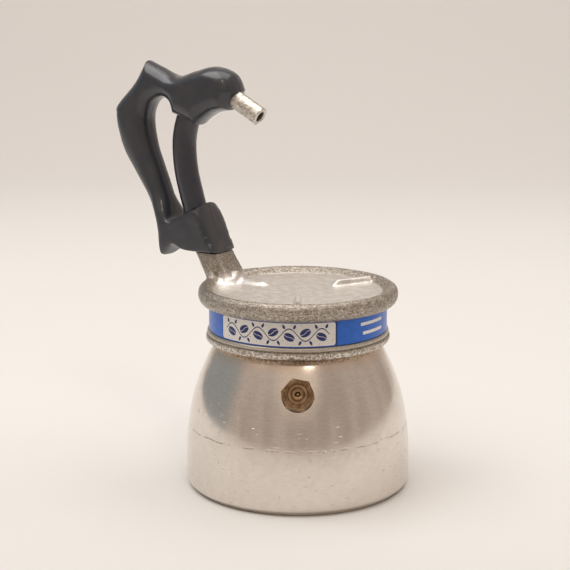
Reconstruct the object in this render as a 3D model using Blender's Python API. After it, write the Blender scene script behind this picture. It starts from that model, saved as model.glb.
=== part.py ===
"""Stovetop espresso maker whose spout pours into a cup that stands on its lid.

Frame: metres, +Z up, origin on the pot's axis at the underside of the base. The handle and
the spout lie in the XZ plane, handle towards -X. All sizes below are in millimetres.

The pot stands on a belly-shaped boiler. A cast head screws down on the boiler's neck and
clamps the gasket on the funnel's rim. A duct in the lid leads to a hollow neck, and a bent
spout tube carries the coffee from there through the handle. A spring valve in the boiler's
shoulder is the safety valve.
"""

import math

import bmesh
import bpy
from mathutils import Vector
from mathutils.geometry import delaunay_2d_cdt

MM = 0.001
GAP = 0.3  # left between solids that touch on the real pot

# Boiler
BELLY_R = 40.15
BELLY_Z = 5.0  # widest height, from where the wall draws in
BELLY_DRAW = 3.76e-4  # draw-in, mm per mm**BELLY_POWER
BELLY_POWER = 2.68
SHOULDER_Z = 52.0
WALL = 1.8
FLOOR = 2.6
BASE_CHAMFER = 1.5
NECK_R = 27.1
NECK_BORE_R = 25.2
NECK_TOP_Z = 61.8

# Screw thread between boiler and head
PITCH = 2.5
THREAD_DEPTH = 0.9
THREAD_LOW_Z = 54.0
THREAD_TURNS = 2.25
THREAD_STEPS = 34  # facets in one turn
THREAD_START = 0.05  # radians, keeps the facets off the wall's own edges
THREAD_SUNK = 0.5
THREAD_ROOT_HALF = 0.65
THREAD_CREST_HALF = 0.25

# Head casting
HEAD_LOW_Z = 52.5
HEAD_BORE_R = 28.35
SEAT_Z = 65.5
PLATE_RECESS_R = 24.5
PLATE_RECESS_Z = 66.5
CHAMBER_R = 20.0
CHAMBER_Z = 67.6
DISH_Z = 70.2
DISH_R = 30.4
RIM_Z = 72.3
RIM_R = 35.4
BAND_LOW_Z = 56.9
BAND_HIGH_Z = 66.0
BAND_R = 31.15
BEAD_R = 32.7

# Cup rests on the lid
REST_AZIMUTHS = (60.0, -60.0)
REST_INNER_R = 13.0
REST_OUTER_R = 31.0
REST_TOP_Z = 72.0

# Funnel and filter
BASKET_R = 22.2
BASKET_WALL = 0.8
BASKET_FLOOR_Z = 48.5
FUNNEL_TUBE_R = 4.2
FUNNEL_TUBE_WALL = 0.8
FUNNEL_TUBE_LOW_Z = 6.0
GASKET_HEIGHT = 2.0

# Neck of the casting: its centre line leans away from the axis
LEAN = (0.518, 0.855)  # towards the handle, up
NECK_FOOT = (30.9, 73.4)  # distance from the axis, height
NECK_SHOULDER_Z = 80.9
TENON_TOP_Z = 90.5
TENON_SHIFT = 0.6  # the tenon lies this much further out than the neck
TENON_FOOT_HALF = 3.1
TENON_HEAD_HALF = 3.9

# Spout tube and its sleeve
TUBE_R = 3.3
TUBE_BORE_R = 1.7
MOUTH_BORE_R = 1.95
SPIGOT_R = 2.2
SLEEVE_R = 4.4
SLEEVE_BORE_R = 3.6
SLEEVE_TOP_Z = 131.0

# Handle shells
SHELL_HALF = 6.5
COLLAR_HALF = 7.75
HEAD_HALF = 7.4
CREST_HALF = 3.6
COLLAR_FADE = (93.0, 101.0)  # heights between which the collar runs into the grip
HEAD_FADE = (44.0, 56.0)  # distances between which the head runs into the grip
CREST_FADE = (139.0, 150.0)
CREST_REACH = 62.9  # distance of the crest's tip from the axis
CREST_SLOPE = 0.35  # the crest thins further down on its inner side
GRIP_BORDER = 5.4  # width of the rounded border, seen from the side
GRIP_SQUARE = 2.3  # power of its superellipse
COLLAR_BORDER = 1.9
COLLAR_SQUARE = 2.6
TAIL_FADE = (48.0, 58.0)  # distances between which the collar's box softens into the tail
BORDER_STEPS = (0.06, 0.25, 0.58, 0.98)  # where the border is faceted
NEAR_BORDER = 0.93  # share of its own step that a border point keeps to every edge
GRID_STEP = 2.6
COLLAR_TOP = ((38.1, 98.6), (50.0, 92.0))  # ends of the flat that the sleeve stands on
SCREW_SPOTS = {"collar": (53.6, 87.4), "head": (56.0, 140.0), "grip": (70.6, 127.0)}
INSERT_R = 2.2
INSERT_LOW = -4.9  # the inserts sit in the right shell, below the screws' heads
INSERT_HIGH = -0.9

# Safety valve, measured along its own axis from the boiler's spot face
VALVE_AZIMUTH = -60.0
VALVE_LIFT = 22.5  # the axis points up by this angle
VALVE_R = 34.35
VALVE_Z = 40.8
HEX_FLATS = 10.0
HEX_TURN = 19.0
SHANK_R = 3.9
BOSS_DEPTH = 2.6

ROUND = 40  # sides of the large turned parts
SMALL_ROUND = 24


# ---------------------------------------------------------------- mesh helpers


def clear_scene():
    for obj in list(bpy.data.objects):
        bpy.data.objects.remove(obj)


def make_material(name, colour, roughness, metallic):
    material = bpy.data.materials.new(name)
    material.use_nodes = True
    shader = material.node_tree.nodes["Principled BSDF"]
    shader.inputs["Base Color"].default_value = (*colour, 1.0)
    shader.inputs["Roughness"].default_value = roughness
    shader.inputs["Metallic"].default_value = metallic
    return material


def add_solid(name, points, faces, material, crease=35.0):
    """One object from points in millimetres. Its normals are turned outwards."""
    mesh = bpy.data.meshes.new(name)
    mesh.from_pydata([Vector(p) * MM for p in points], [], faces)
    work = bmesh.new()
    work.from_mesh(mesh)
    bmesh.ops.recalc_face_normals(work, faces=work.faces)
    work.to_mesh(mesh)
    work.free()
    mesh.shade_smooth()
    mesh.set_sharp_from_angle(angle=math.radians(crease))
    obj = bpy.data.objects.new(name, mesh)
    bpy.context.collection.objects.link(obj)
    if material:
        mesh.materials.append(material)
    return obj


def skin(rings, wrap):
    """Points and faces over rings of equal count; a ring of one point is a pole.
    With wrap the last ring joins the first, else the two ends are capped."""
    points, index = [], []
    for ring in rings:
        index.append(range(len(points), len(points) + len(ring)))
        points.extend(ring)
    faces = []
    pairs = list(zip(index, index[1:]))
    if wrap:
        pairs.append((index[-1], index[0]))
    for a, b in pairs:
        count = max(len(a), len(b))
        for k in range(count):
            after = (k + 1) % count
            if len(a) == 1 and len(b) == 1:
                break
            if len(a) == 1:
                faces.append((a[0], b[k], b[after]))
            elif len(b) == 1:
                faces.append((a[k], b[0], a[after]))
            else:
                faces.append((a[k], b[k], b[after], a[after]))
    if not wrap:
        faces.extend(tuple(ring) for ring in (index[0], index[-1]) if len(ring) > 1)
    return points, faces


def circle(radius, z, sides, turn=0.0):
    if radius < 1e-6:
        return [(0.0, 0.0, z)]
    angles = [2 * math.pi * k / sides + math.radians(turn) for k in range(sides)]
    return [(radius * math.cos(a), radius * math.sin(a), z) for a in angles]


def turned(name, outline, material, sides=ROUND):
    """A turned solid. The (radius, height) outline starts and ends on the axis, or is a
    closed loop beside it."""
    on_axis = outline[0][0] < 1e-6 and outline[-1][0] < 1e-6
    rings = [circle(radius, z, sides) for radius, z in outline]
    return add_solid(name, *skin(rings, not on_axis), material)


def tube_outline(outer, inner, low, high):
    return [(outer, low), (outer, high), (inner, high), (inner, low)]


def hexagon_prism(name, flats, low, high, material, turn=0.0, chamfer=0.0):
    corner = flats / 2 / math.cos(math.radians(30))
    rings = [circle(corner, low, 6, turn), circle(corner, high - chamfer, 6, turn)]
    if chamfer:
        rings.append(circle(corner - chamfer * 1.6, high, 6, turn))
    return add_solid(name, *skin(rings, False), material, crease=20.0)


def cut(obj, cutter, operation="DIFFERENCE"):
    """A Boolean with a helper that isn't part of the pot itself."""
    cutter.hide_render = True
    cutter.display_type = "WIRE"
    modifier = obj.modifiers.new(cutter.name, "BOOLEAN")
    modifier.operation = operation
    modifier.object = cutter
    return obj


def join(obj, other):
    return cut(obj, other, "UNION")


def smooth_line(points, corners=(), steps=4, closed=False):
    """A Catmull-Rom curve through points. At the indices in corners it turns sharply."""
    count = len(points)
    spans = count if closed else count - 1
    found = []
    for i in range(spans):
        p1, p2 = Vector(points[i]), Vector(points[(i + 1) % count])
        before = points[i - 1] if closed or i else points[i]
        after = points[(i + 2) % count] if closed or i + 2 < count else points[i + 1]
        p0 = p1 if i in corners else Vector(before)
        p3 = p2 if (i + 1) % count in corners else Vector(after)
        for k in range(steps):
            t = k / steps
            found.append(
                0.5
                * (
                    2 * p1
                    + (p2 - p0) * t
                    + (2 * p0 - 5 * p1 + 4 * p2 - p3) * t * t
                    + (3 * p1 - p0 - 3 * p2 + p3) * t**3
                )
            )
    if not closed:
        found.append(Vector(points[-1]))
    return found


def trim(path, start, end):
    """The stretch of a path between two lengths measured along it."""
    found, run = [], 0.0
    for a, b in zip(path, path[1:]):
        step = (b - a).length
        for limit in (start, end):
            if run < limit <= run + step:
                found.append(a.lerp(b, (limit - run) / step))
        run += step
        if start + 0.4 < run < end - 0.4:
            found.append(b)
    return found


def path_length(path):
    return sum((b - a).length for a, b in zip(path, path[1:]))


def sweep_rings(path, radius, sides):
    """Rings square to a path of (distance towards the handle, height) points."""
    rings = []
    for i, here in enumerate(path):
        along = (path[min(i + 1, len(path) - 1)] - path[max(i - 1, 0)]).normalized()
        across = Vector((along.y, -along.x))
        ring = []
        for k in range(sides):
            angle = 2 * math.pi * k / sides
            flat = here + across * radius * math.cos(angle)
            ring.append((-flat.x, radius * math.sin(angle), flat.y))
        rings.append(ring)
    return rings


def swept(name, path, radius, material, sides=16):
    return add_solid(name, *skin(sweep_rings(path, radius, sides), False), material)


def rounded_ring(centre, z, half_x, half_y, power, sides=24):
    """A level superellipse; power 2 is an ellipse, larger is squarer."""
    ring = []
    for k in range(sides):
        angle = 2 * math.pi * (k + 0.5) / sides
        c, s = math.cos(angle), math.sin(angle)
        x = math.copysign(abs(c) ** (2 / power), c) * half_x
        y = math.copysign(abs(s) ** (2 / power), s) * half_y
        ring.append((-centre + x, y, z))
    return ring


# ---------------------------------------------------------------- shared shapes


def belly_radius(z):
    return BELLY_R - BELLY_DRAW * max(z - BELLY_Z, 0.0) ** BELLY_POWER


def neck_centre(z):
    """Distance of the leaning neck's centre line from the pot's axis at a height."""
    return NECK_FOOT[0] + (z - NECK_FOOT[1]) * LEAN[0] / LEAN[1]


def thread_ridge(name, root_r, crest_r, phase):
    """One helical ridge, sunk a little into the wall it grows from."""
    sunk = math.copysign(THREAD_SUNK, crest_r - root_r)
    slope = (THREAD_ROOT_HALF - THREAD_CREST_HALF) / abs(crest_r - root_r)
    foot_half = THREAD_ROOT_HALF + THREAD_SUNK * slope
    section = (
        (root_r - sunk, -foot_half),
        (crest_r, -THREAD_CREST_HALF),
        (crest_r, THREAD_CREST_HALF),
        (root_r - sunk, foot_half),
    )
    rings = []
    for k in range(int(THREAD_TURNS * THREAD_STEPS) + 1):
        turn = k / THREAD_STEPS
        angle = 2 * math.pi * turn + THREAD_START
        z = THREAD_LOW_Z + PITCH * (turn + phase)
        rings.append(
            [(r * math.cos(angle), r * math.sin(angle), z + dz) for r, dz in section]
        )
    return add_solid(name, *skin(rings, False), None)


def spout_path():
    """Centre line of the spout tube, from its shoulder on the neck to its mouth."""
    start_z = TENON_TOP_Z + 2.1
    route = (
        (neck_centre(start_z) + TENON_SHIFT, start_z),
        (43.6, 96.2),
        (45.0, 101.2),
        (46.9, 108.5),
        (47.8, 115.5),
        (47.7, 122.0),
        (46.0, 128.5),
        (42.6, 134.6),
        (36.6, 138.6),
        (30.0, 138.4),
        (24.2, 135.7),
        (15.5, 130.7),
    )
    return smooth_line(route, steps=2)


def rise_to(path, z):
    """Length along the rising part of a path up to a height."""
    run = 0.0
    for a, b in zip(path, path[1:]):
        if a.y <= z < b.y:
            return run + (b - a).length * (z - a.y) / (b.y - a.y)
        run += (b - a).length
    return run


def collar_crossing(path):
    """Length along the spout, and the point on it, where it leaves the collar's top face."""
    corner, foot = Vector(COLLAR_TOP[0]), Vector(COLLAR_TOP[1])
    face = foot - corner
    run = 0.0
    for a, b in zip(path, path[1:]):
        side_a, side_b = face.cross(a - corner), face.cross(b - corner)
        if side_a < 0 <= side_b:
            share = side_a / (side_a - side_b)
            return run + (b - a).length * share, a.lerp(b, share)
        run += (b - a).length
    return 0.0, path[0]


# ---------------------------------------------------------------- boiler and filter


def build_boiler(aluminium):
    heights = [BASE_CHAMFER, 9.0, 17.0, 24.0, 30.0, 35.0, 39.5, 44.0, 48.0, SHOULDER_Z]
    outer = [(BELLY_R - 1.9, 0.0)] + [
        (belly_radius(z) - (0.5 if z == BASE_CHAMFER else 0.0), z) for z in heights
    ]
    inside = [47.0, 41.0, 34.0, 26.0, 16.0, 7.0]
    inner = [(NECK_BORE_R, NECK_TOP_Z), (NECK_BORE_R, SHOULDER_Z)]
    inner += [(belly_radius(z) - WALL, z - 0.4) for z in inside]
    inner += [(belly_radius(0) - WALL - 0.6, FLOOR + 1.8), (belly_radius(0) - 5.0, FLOOR)]
    outline = [(0.0, 0.0), *outer, (NECK_R, SHOULDER_Z), (NECK_R, NECK_TOP_Z), *inner, (0.0, FLOOR)]
    boiler = turned("boiler", outline, aluminium)
    join(boiler, thread_ridge("boiler_thread_shape", NECK_R, NECK_R + THREAD_DEPTH, 0.0))
    return boiler


def build_valve_seat(boiler, valve_frame):
    """The inner boss, the spot face and the hole that the valve's shank goes through."""
    boss = turned("valve_boss_shape", [(0, -BOSS_DEPTH), (7.2, -BOSS_DEPTH), (7.2, -0.6), (0, -0.6)], None, 20)
    face = turned("spot_face_shape", [(0, 0), (6.2, 0), (6.2, 5.0), (0, 5.0)], None, 28)
    hole = turned("valve_hole_shape", [(0, -6), (SHANK_R + GAP, -6), (SHANK_R + GAP, 6), (0, 6)], None)
    for tool in (boss, face, hole):
        tool.parent = valve_frame
    join(boiler, boss)
    cut(boiler, face)
    cut(boiler, hole)


def perforated_disc(name, radius, low, high, rows, hole_r, material):
    disc = turned(name, [(0, low), (radius, low), (radius, high), (0, high)], material, 40)
    points, faces = [], []
    for row in rows:
        row_r, count = row
        for k in range(count):
            angle = 2 * math.pi * k / count
            at = Vector((row_r * math.cos(angle), row_r * math.sin(angle), 0))
            rings = [
                [tuple(Vector(p) + at) for p in circle(hole_r, z, 6)]
                for z in (low - 1.0, high + 1.0)
            ]
            pin_points, pin_faces = skin(rings, False)
            faces.extend(tuple(i + len(points) for i in face) for face in pin_faces)
            points.extend(pin_points)
    return cut(disc, add_solid(name + "_holes_shape", points, faces, None))


def build_filter(aluminium, rubber):
    rim_low = NECK_TOP_Z + GAP
    rim_high = rim_low + 0.8
    inner_r = BASKET_R - BASKET_WALL
    collar_r = FUNNEL_TUBE_R + GAP
    cone_low = BASKET_FLOOR_Z - 4.5
    basket = [
        (NECK_R - 0.2, rim_low),
        (NECK_R - 0.2, rim_high),
        (inner_r, rim_high),
        (inner_r, BASKET_FLOOR_Z),
        (inner_r - 2.0, BASKET_FLOOR_Z - 0.3),
        (collar_r, cone_low + 0.6),
        (collar_r, cone_low - 2.0),
        (collar_r + 0.8, cone_low - 2.0),
        (collar_r + 0.8, cone_low - 0.2),
        (BASKET_R - 1.4, BASKET_FLOOR_Z - 1.2),
        (BASKET_R, BASKET_FLOOR_Z - 0.4),
        (BASKET_R, rim_low),
    ]
    turned("funnel_basket", basket, aluminium)
    bore = FUNNEL_TUBE_R - FUNNEL_TUBE_WALL
    turned(
        "funnel_tube",
        tube_outline(FUNNEL_TUBE_R, bore, FUNNEL_TUBE_LOW_Z, cone_low + 0.6),
        aluminium,
        SMALL_ROUND,
    )
    rows = ((0.0, 1), (6.0, 6), (13.0, 12))
    screen_low = BASKET_FLOOR_Z + GAP
    perforated_disc(
        "funnel_screen", inner_r - GAP, screen_low, screen_low + 0.7, rows, 0.9, aluminium
    )
    gasket_low = rim_high + GAP
    turned(
        "gasket", tube_outline(27.6, 22.6, gasket_low, gasket_low + GASKET_HEIGHT), rubber
    )
    perforated_disc(
        "filter_plate",
        PLATE_RECESS_R - GAP,
        SEAT_Z,
        SEAT_Z + 0.7,
        ((0.0, 1), (6.0, 6), (12.0, 12)),
        0.8,
        aluminium,
    )


# ---------------------------------------------------------------- head casting


def head_outline():
    """Closed (radius, height) loop of the casting's turned body."""
    lower_bead = [(31.5, HEAD_LOW_Z), (32.3, 52.9), (BEAD_R, 54.0), (32.5, 54.9), (31.9, 55.3)]
    band = [(32.2, 55.6), (32.2, 56.5), (BAND_R + 0.5, BAND_LOW_Z), (BAND_R, BAND_LOW_Z)]
    flange = [
        (BAND_R, BAND_HIGH_Z),
        (33.6, BAND_HIGH_Z),
        (34.8, 67.3),
        (RIM_R, 69.0),
        (35.2, 70.8),
        (34.4, 71.9),
        (33.2, RIM_Z),
        (32.0, 71.9),
        (DISH_R + 0.5, 70.8),
        (DISH_R - 0.6, DISH_Z),
    ]
    underside = [
        (CHAMBER_R - 1.0, CHAMBER_Z),
        (CHAMBER_R, CHAMBER_Z - 1.0),
        (CHAMBER_R, PLATE_RECESS_Z),
        (PLATE_RECESS_R, PLATE_RECESS_Z),
        (PLATE_RECESS_R, SEAT_Z),
        (HEAD_BORE_R, SEAT_Z),
        (HEAD_BORE_R, HEAD_LOW_Z),
    ]
    return [(0.0, DISH_Z), *reversed(flange), *reversed(band), *reversed(lower_bead)] + [
        *reversed(underside),
        (0.0, CHAMBER_Z),
    ]


def cast_neck():
    """The leaning neck with the tenon that the handle's collar closes on."""
    bottom_z, top_z = 68.4, TENON_TOP_Z
    shape = (
        (bottom_z, 6.4, 7.0, 3.0),
        (72.0, 6.0, 7.0, 4.0),
        (75.0, 5.2, 6.4, 6.0),
        (78.0, 4.8, 6.2, 8.0),
        (NECK_SHOULDER_Z, 4.7, 6.1, 8.0),
    )
    rings = [rounded_ring(neck_centre(z), z, a, b, power) for z, a, b, power in shape]
    rings += tenon_rings(0.0, (NECK_SHOULDER_Z, top_z))
    return add_solid("neck_shape", *skin(rings, False), None)


def tenon_rings(spare, heights):
    """Sections of the tenon, which widens upwards so that the collar can't lift off it."""
    rings = []
    for z in heights:
        rise = (z - NECK_SHOULDER_Z) / (TENON_TOP_Z - NECK_SHOULDER_Z)
        half = TENON_FOOT_HALF + (TENON_HEAD_HALF - TENON_FOOT_HALF) * rise
        centre = neck_centre(z) + TENON_SHIFT
        rings.append(rounded_ring(centre, z, half + spare, 4.4 + spare, 3.0))
    return rings


def duct_ridge():
    """The raised back of the coffee duct, from near the lid's centre to the neck's foot."""
    shape = ((10.0, 0.3, 0.8), (13.0, 1.4, 2.6), (18.0, 1.8, 3.4), (23.5, 2.0, 4.2), (31.0, 4.4, 5.4))
    rings = []
    for reach, half_high, half_wide in shape:
        angles = [2 * math.pi * (k + 0.5) / 16 for k in range(16)]
        low = min(half_high, 1.8)
        rings.append(
            [
                (
                    -reach,
                    half_wide * math.cos(a),
                    DISH_Z + (half_high if math.sin(a) > 0 else low) * math.sin(a),
                )
                for a in angles
            ]
        )
    return add_solid("duct_ridge_shape", *skin(rings, False), None)


def cup_rest(azimuth):
    half_low, half_high, sunk = 1.0, 0.55, 0.8
    ends = ((REST_INNER_R, 0.3), (REST_INNER_R + 2.5, 1.0), (REST_OUTER_R - 1.5, 1.0), (REST_OUTER_R, 0.4))
    rings = []
    for reach, share in ends:
        top = DISH_Z + (REST_TOP_Z - DISH_Z) * share
        rings.append(
            [
                (reach, -half_low, DISH_Z - sunk),
                (reach, half_low, DISH_Z - sunk),
                (reach, half_high, top),
                (reach, -half_high, top),
            ]
        )
    rest = add_solid(f"cup_rest_shape_{azimuth:+.0f}", *skin(rings, False), None)
    rest.rotation_euler.z = math.radians(azimuth)
    return rest


def build_head(cast):
    head = turned("group_head", head_outline(), cast)
    join(head, duct_ridge())
    join(head, cast_neck())
    for azimuth in REST_AZIMUTHS:
        join(head, cup_rest(azimuth))
    ridge_root = HEAD_BORE_R
    join(
        head,
        thread_ridge("head_thread_shape", ridge_root, ridge_root - THREAD_DEPTH - 0.05, 0.5),
    )
    duct = [(12.0, 65.6), (14.5, 67.4), (18.5, 68.8), (24.0, 69.2), (28.6, 70.8)]
    duct += [(neck_centre(75.0), 75.0)]
    duct += [(neck_centre(z) + TENON_SHIFT, z) for z in (81.0, 86.0, TENON_TOP_Z + 2.0)]
    cut(head, swept("duct_shape", smooth_line(duct, steps=2), 1.9, None, 12))
    socket = (85.6, TENON_TOP_Z + 2.0)
    counterbore = [Vector((neck_centre(z) + TENON_SHIFT, z)) for z in socket]
    cut(head, swept("socket_shape", counterbore, SPIGOT_R + GAP, None, 16))
    return head


def build_label(enamel):
    """A printed metal strip in the casting's groove, with its ends just short of meeting."""
    inner_r, outer_r = BAND_R + GAP, BAND_R + GAP + 0.3
    low, high = BAND_LOW_Z + GAP, BAND_HIGH_Z - GAP
    start, end = math.radians(120.8), math.radians(479.2)
    rings = []
    for k in range(ROUND + 1):
        angle = start + (end - start) * k / ROUND
        rings.append(
            [(r * math.cos(angle), r * math.sin(angle), z) for r, z in tube_outline(outer_r, inner_r, low, high)]
        )
    add_solid("label_band", *skin(rings, False), enamel)


# ---------------------------------------------------------------- spout and handle


def build_spout(cast, bakelite):
    path = spout_path()
    spigot = [Vector((neck_centre(z) + TENON_SHIFT, z)) for z in (86.4, TENON_TOP_Z)]
    sides = 12
    mouth = trim(path, path_length(path) - 3.0, path_length(path) + 1.0)[:1] + path[-1:]
    outer = sweep_rings(spigot + path[:1], SPIGOT_R, sides) + sweep_rings(path, TUBE_R, sides)
    body = trim(path, 0.01, path_length(path) - 3.0)
    inner = sweep_rings(spigot + body, TUBE_BORE_R, sides)
    flare = sweep_rings(mouth, MOUTH_BORE_R, sides)
    rings = outer + list(reversed(inner + flare))
    add_solid("spout_tube", *skin(rings, True), cast)
    start, foot = collar_crossing(path)
    sleeve = trim(path, start + GAP, rise_to(path, SLEEVE_TOP_Z))
    sleeve = sleeve[:1] + [p for p in sleeve if (p - foot).length > SLEEVE_R]
    shells = []
    for radius in (SLEEVE_R, SLEEVE_BORE_R):
        rings = sweep_rings(sleeve, radius, 16)
        rings[0] = slanted_ring(sleeve, COLLAR_TOP, radius, 16)
        shells.append(rings)
    add_solid("spout_sleeve", *skin(shells[0] + list(reversed(shells[1])), True), bakelite)


def slanted_ring(path, face, radius, sides):
    """The first ring of a sweep, cut parallel to a flat face given by two of its points."""
    along = (path[1] - path[0]).normalized()
    across = Vector((along.y, -along.x))
    level = Vector(face[1]) - Vector(face[0])
    ring = []
    for k in range(sides):
        angle = 2 * math.pi * k / sides
        out = across * radius * math.cos(angle)
        flat = path[0] + out - along * (out.cross(level) / along.cross(level))
        ring.append((-flat.x, radius * math.sin(angle), flat.y))
    return ring


def handle_outline():
    """The C-shaped outline of both shells: (distance towards the handle, height)."""
    points = (
        (30.6, 81.2),  # 0 collar, foot of the inner face
        (41.0, 81.0),
        (45.2, 81.4),
        (48.8, 82.8),  # notch before the tail
        (51.6, 80.9),
        (55.2, 78.0),  # tail
        (57.0, 81.0),
        (57.8, 88.0),
        (60.2, 95.4),
        (67.4, 106.9),
        (73.2, 115.8),
        (75.6, 124.0),
        (76.3, 129.6),  # shoulder of the grip
        (75.6, 133.2),
        (67.9, 141.3),
        (CREST_REACH, 149.2),  # 15 crest
        (57.6, 147.0),
        (49.5, 144.0),
        (41.2, 146.1),
        (33.6, 147.7),  # top of the head
        (26.6, 145.3),
        (23.4, 139.4),  # 21 nose, above the spout
        (27.0, 132.6),  # 22 nose, below the spout
        (32.8, 131.5),
        (37.2, 129.2),
        (40.2, 126.8),  # 25 where the sleeve enters the head
        (50.9, 130.4),  # 26
        (52.4, 134.5),
        (56.2, 136.0),  # top of the loop
        (60.6, 133.4),
        (62.6, 127.6),
        (61.0, 118.6),
        (57.2, 108.4),
        (53.4, 98.2),
        (51.8, 93.2),
        COLLAR_TOP[1],  # 35 foot of the loop
        COLLAR_TOP[0],  # 36 collar, head of the inner face
    )
    return smooth_line(points, corners=(0, 15, 21, 22, 25, 26, 35, 36), steps=3, closed=True)


def fade(value, low, high):
    """0 below low, 1 above high, smooth between them."""
    t = min(max((value - low) / (high - low), 0.0), 1.0)
    return t * t * (3 - 2 * t)


def shell_form(reach, z):
    """Half thickness, width of the rounded border, and its squareness, at a place."""
    collar = 1.0 - fade(z, *COLLAR_FADE)
    boxy = collar * (1.0 - fade(reach, *TAIL_FADE))
    head = (1.0 - fade(reach, *HEAD_FADE)) * fade(z, *COLLAR_FADE)
    level = z - CREST_SLOPE * (CREST_REACH - reach)
    crest = fade(level, *CREST_FADE) * fade(reach, *HEAD_FADE)
    half = SHELL_HALF + (COLLAR_HALF - SHELL_HALF) * collar + (HEAD_HALF - SHELL_HALF) * head
    half += (CREST_HALF - half) * crest
    border = GRIP_BORDER + (COLLAR_BORDER - GRIP_BORDER) * boxy
    square = GRIP_SQUARE + (COLLAR_SQUARE - GRIP_SQUARE) * boxy
    return half, border, square


def depth_in(point, outline):
    """Distance from a point to the nearest edge of an outline, negative outside it."""
    nearest, inside = 1e9, False
    for a, b in zip(outline, outline[1:] + outline[:1]):
        edge = b - a
        t = min(max((point - a).dot(edge) / edge.length_squared, 0.0), 1.0)
        nearest = min(nearest, (point - a - edge * t).length)
        if (a.y > point.y) != (b.y > point.y):
            inside ^= point.x < a.x + edge.x * (point.y - a.y) / edge.y
    return nearest if inside else -nearest


def pillow_points(outline):
    """Points inside an outline: close behind its border, and a grid in the middle."""
    found = []
    count = len(outline)
    for i, here in enumerate(outline):
        before = (here - outline[i - 1]).normalized()
        after = (outline[(i + 1) % count] - here).normalized()
        along = (before + after).normalized()
        mitre = Vector((-along.y, along.x)) / max(along.dot(after), 0.4)
        _, border, _ = shell_form(here.x, here.y)
        for step in BORDER_STEPS:
            point = here + mitre * border * step
            if depth_in(point, outline) > border * step * NEAR_BORDER:
                found.append(point)
    for i in range(int(60 / GRID_STEP)):
        for j in range(int(75 / GRID_STEP)):
            point = Vector((22.0 + GRID_STEP * (i + 0.5 * (j % 2)), 77.0 + GRID_STEP * j))
            if depth_in(point, outline) > GRIP_BORDER * BORDER_STEPS[-1] + GRID_STEP / 2:
                found.append(point)
    return found


def shell_height(reach, z, depth):
    """Height of a shell's surface over the parting plane."""
    half, border, square = shell_form(reach, z)
    left = 1.0 - min(depth / border, 1.0)
    return GAP / 2 + (half - GAP / 2) * (1.0 - left**square) ** (1.0 / square)


def screw_frame(name, spot):
    """A frame at a screw's spot, its Z along +Y of the pot."""
    frame = bpy.data.objects.new(f"screw_frame_{name}", None)
    bpy.context.collection.objects.link(frame)
    frame.location = Vector((-spot[0], 0.0, spot[1])) * MM
    frame.rotation_euler.x = -math.pi / 2
    return frame


def shell(name, side, bakelite):
    """One half of the handle. side is +1 for the half at +Y and -1 for the one at -Y."""
    outline = handle_outline()
    if sum(a.cross(b) for a, b in zip(outline, outline[1:] + outline[:1])) < 0:
        outline.reverse()
    plan = outline + pillow_points(outline)
    rim = [(i, (i + 1) % len(outline)) for i in range(len(outline))]
    found = delaunay_2d_cdt([p.to_2d() for p in plan], rim, [], 1, 1e-4)
    points, faces = [], []
    for p in found[0]:
        depth = depth_in(p, outline)
        y = GAP / 2 if depth < 0.02 else shell_height(p.x, p.y, depth)
        points.append((-p.x, side * y, p.y))
    faces.extend(tuple(face) for face in found[2])
    onto = {source: k for k, sources in enumerate(found[3]) for source in sources}
    faces.append(tuple(onto[i] for i in range(len(outline))))
    return add_solid(name, points, faces, bakelite)


def build_handle(bakelite, brass, steel):
    path = spout_path()
    left = shell("handle_left_shell", 1, bakelite)
    right = shell("handle_right_shell", -1, bakelite)
    pocket = tenon_rings(GAP, (NECK_SHOULDER_Z - 3.0, TENON_TOP_Z + GAP))
    below = path[0] - (path[1] - path[0]).normalized() * 3.0
    leaves, _ = collar_crossing(path)
    collar_bore = [below] + trim(path, 0.01, leaves + 4.0)
    sleeve_end = rise_to(path, SLEEVE_TOP_Z)
    sleeve_bore = trim(path, sleeve_end - 8.0, sleeve_end + GAP)
    tube_bore = trim(path, sleeve_end - 2.0, path_length(path) - 0.01)
    tools = (
        add_solid("tenon_pocket_shape", *skin(pocket, False), None),
        swept("collar_bore_shape", collar_bore, TUBE_R + GAP, None, 16),
        swept("sleeve_bore_shape", sleeve_bore, SLEEVE_R + GAP, None, 20),
        swept("tube_bore_shape", tube_bore, TUBE_R + GAP, None, 16),
    )
    for obj in (left, right):
        for tool in tools:
            cut(obj, tool)
    for spot_name, spot in SCREW_SPOTS.items():
        fasten(spot_name, spot, left, right, brass, steel)


def fasten(name, spot, left, right, brass, steel):
    """A countersunk screw through the left shell, and its threaded insert in the right."""
    frame = screw_frame(name, spot)
    top = shell_form(*spot)[0] - 0.5
    neck = top - 1.7
    hole = turned(
        f"screw_hole_shape_{name}",
        [(0, -2), (1.6, -2), (1.6, neck), (3.1, top), (3.1, top + 3), (0, top + 3)],
        None,
        16,
    )
    blind = turned(
        f"insert_hole_shape_{name}",
        [(0, 2), (INSERT_R + GAP, 2), (INSERT_R + GAP, INSERT_LOW - GAP), (0, INSERT_LOW - GAP)],
        None,
        16,
    )
    cut(left, hole)
    cut(right, blind)
    shank = [(0, INSERT_LOW), (1.3, INSERT_LOW), (1.3, neck), (2.7, top - 0.15), (0, top)]
    screw = turned(f"handle_screw_{name}", shank, steel, 12)
    sleeve = tube_outline(INSERT_R, 1.6, INSERT_LOW, INSERT_HIGH)
    insert = turned(f"screw_insert_{name}", sleeve, brass, 16)
    for piece in (hole, blind, screw, insert):
        piece.parent = frame


# ---------------------------------------------------------------- safety valve


def valve_axis_frame():
    frame = bpy.data.objects.new("valve_frame", None)
    bpy.context.collection.objects.link(frame)
    out = math.radians(VALVE_AZIMUTH)
    frame.location = Vector((VALVE_R * math.cos(out), VALVE_R * math.sin(out), VALVE_Z)) * MM
    frame.rotation_euler = (0.0, math.radians(90 - VALVE_LIFT), out)
    return frame


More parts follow.
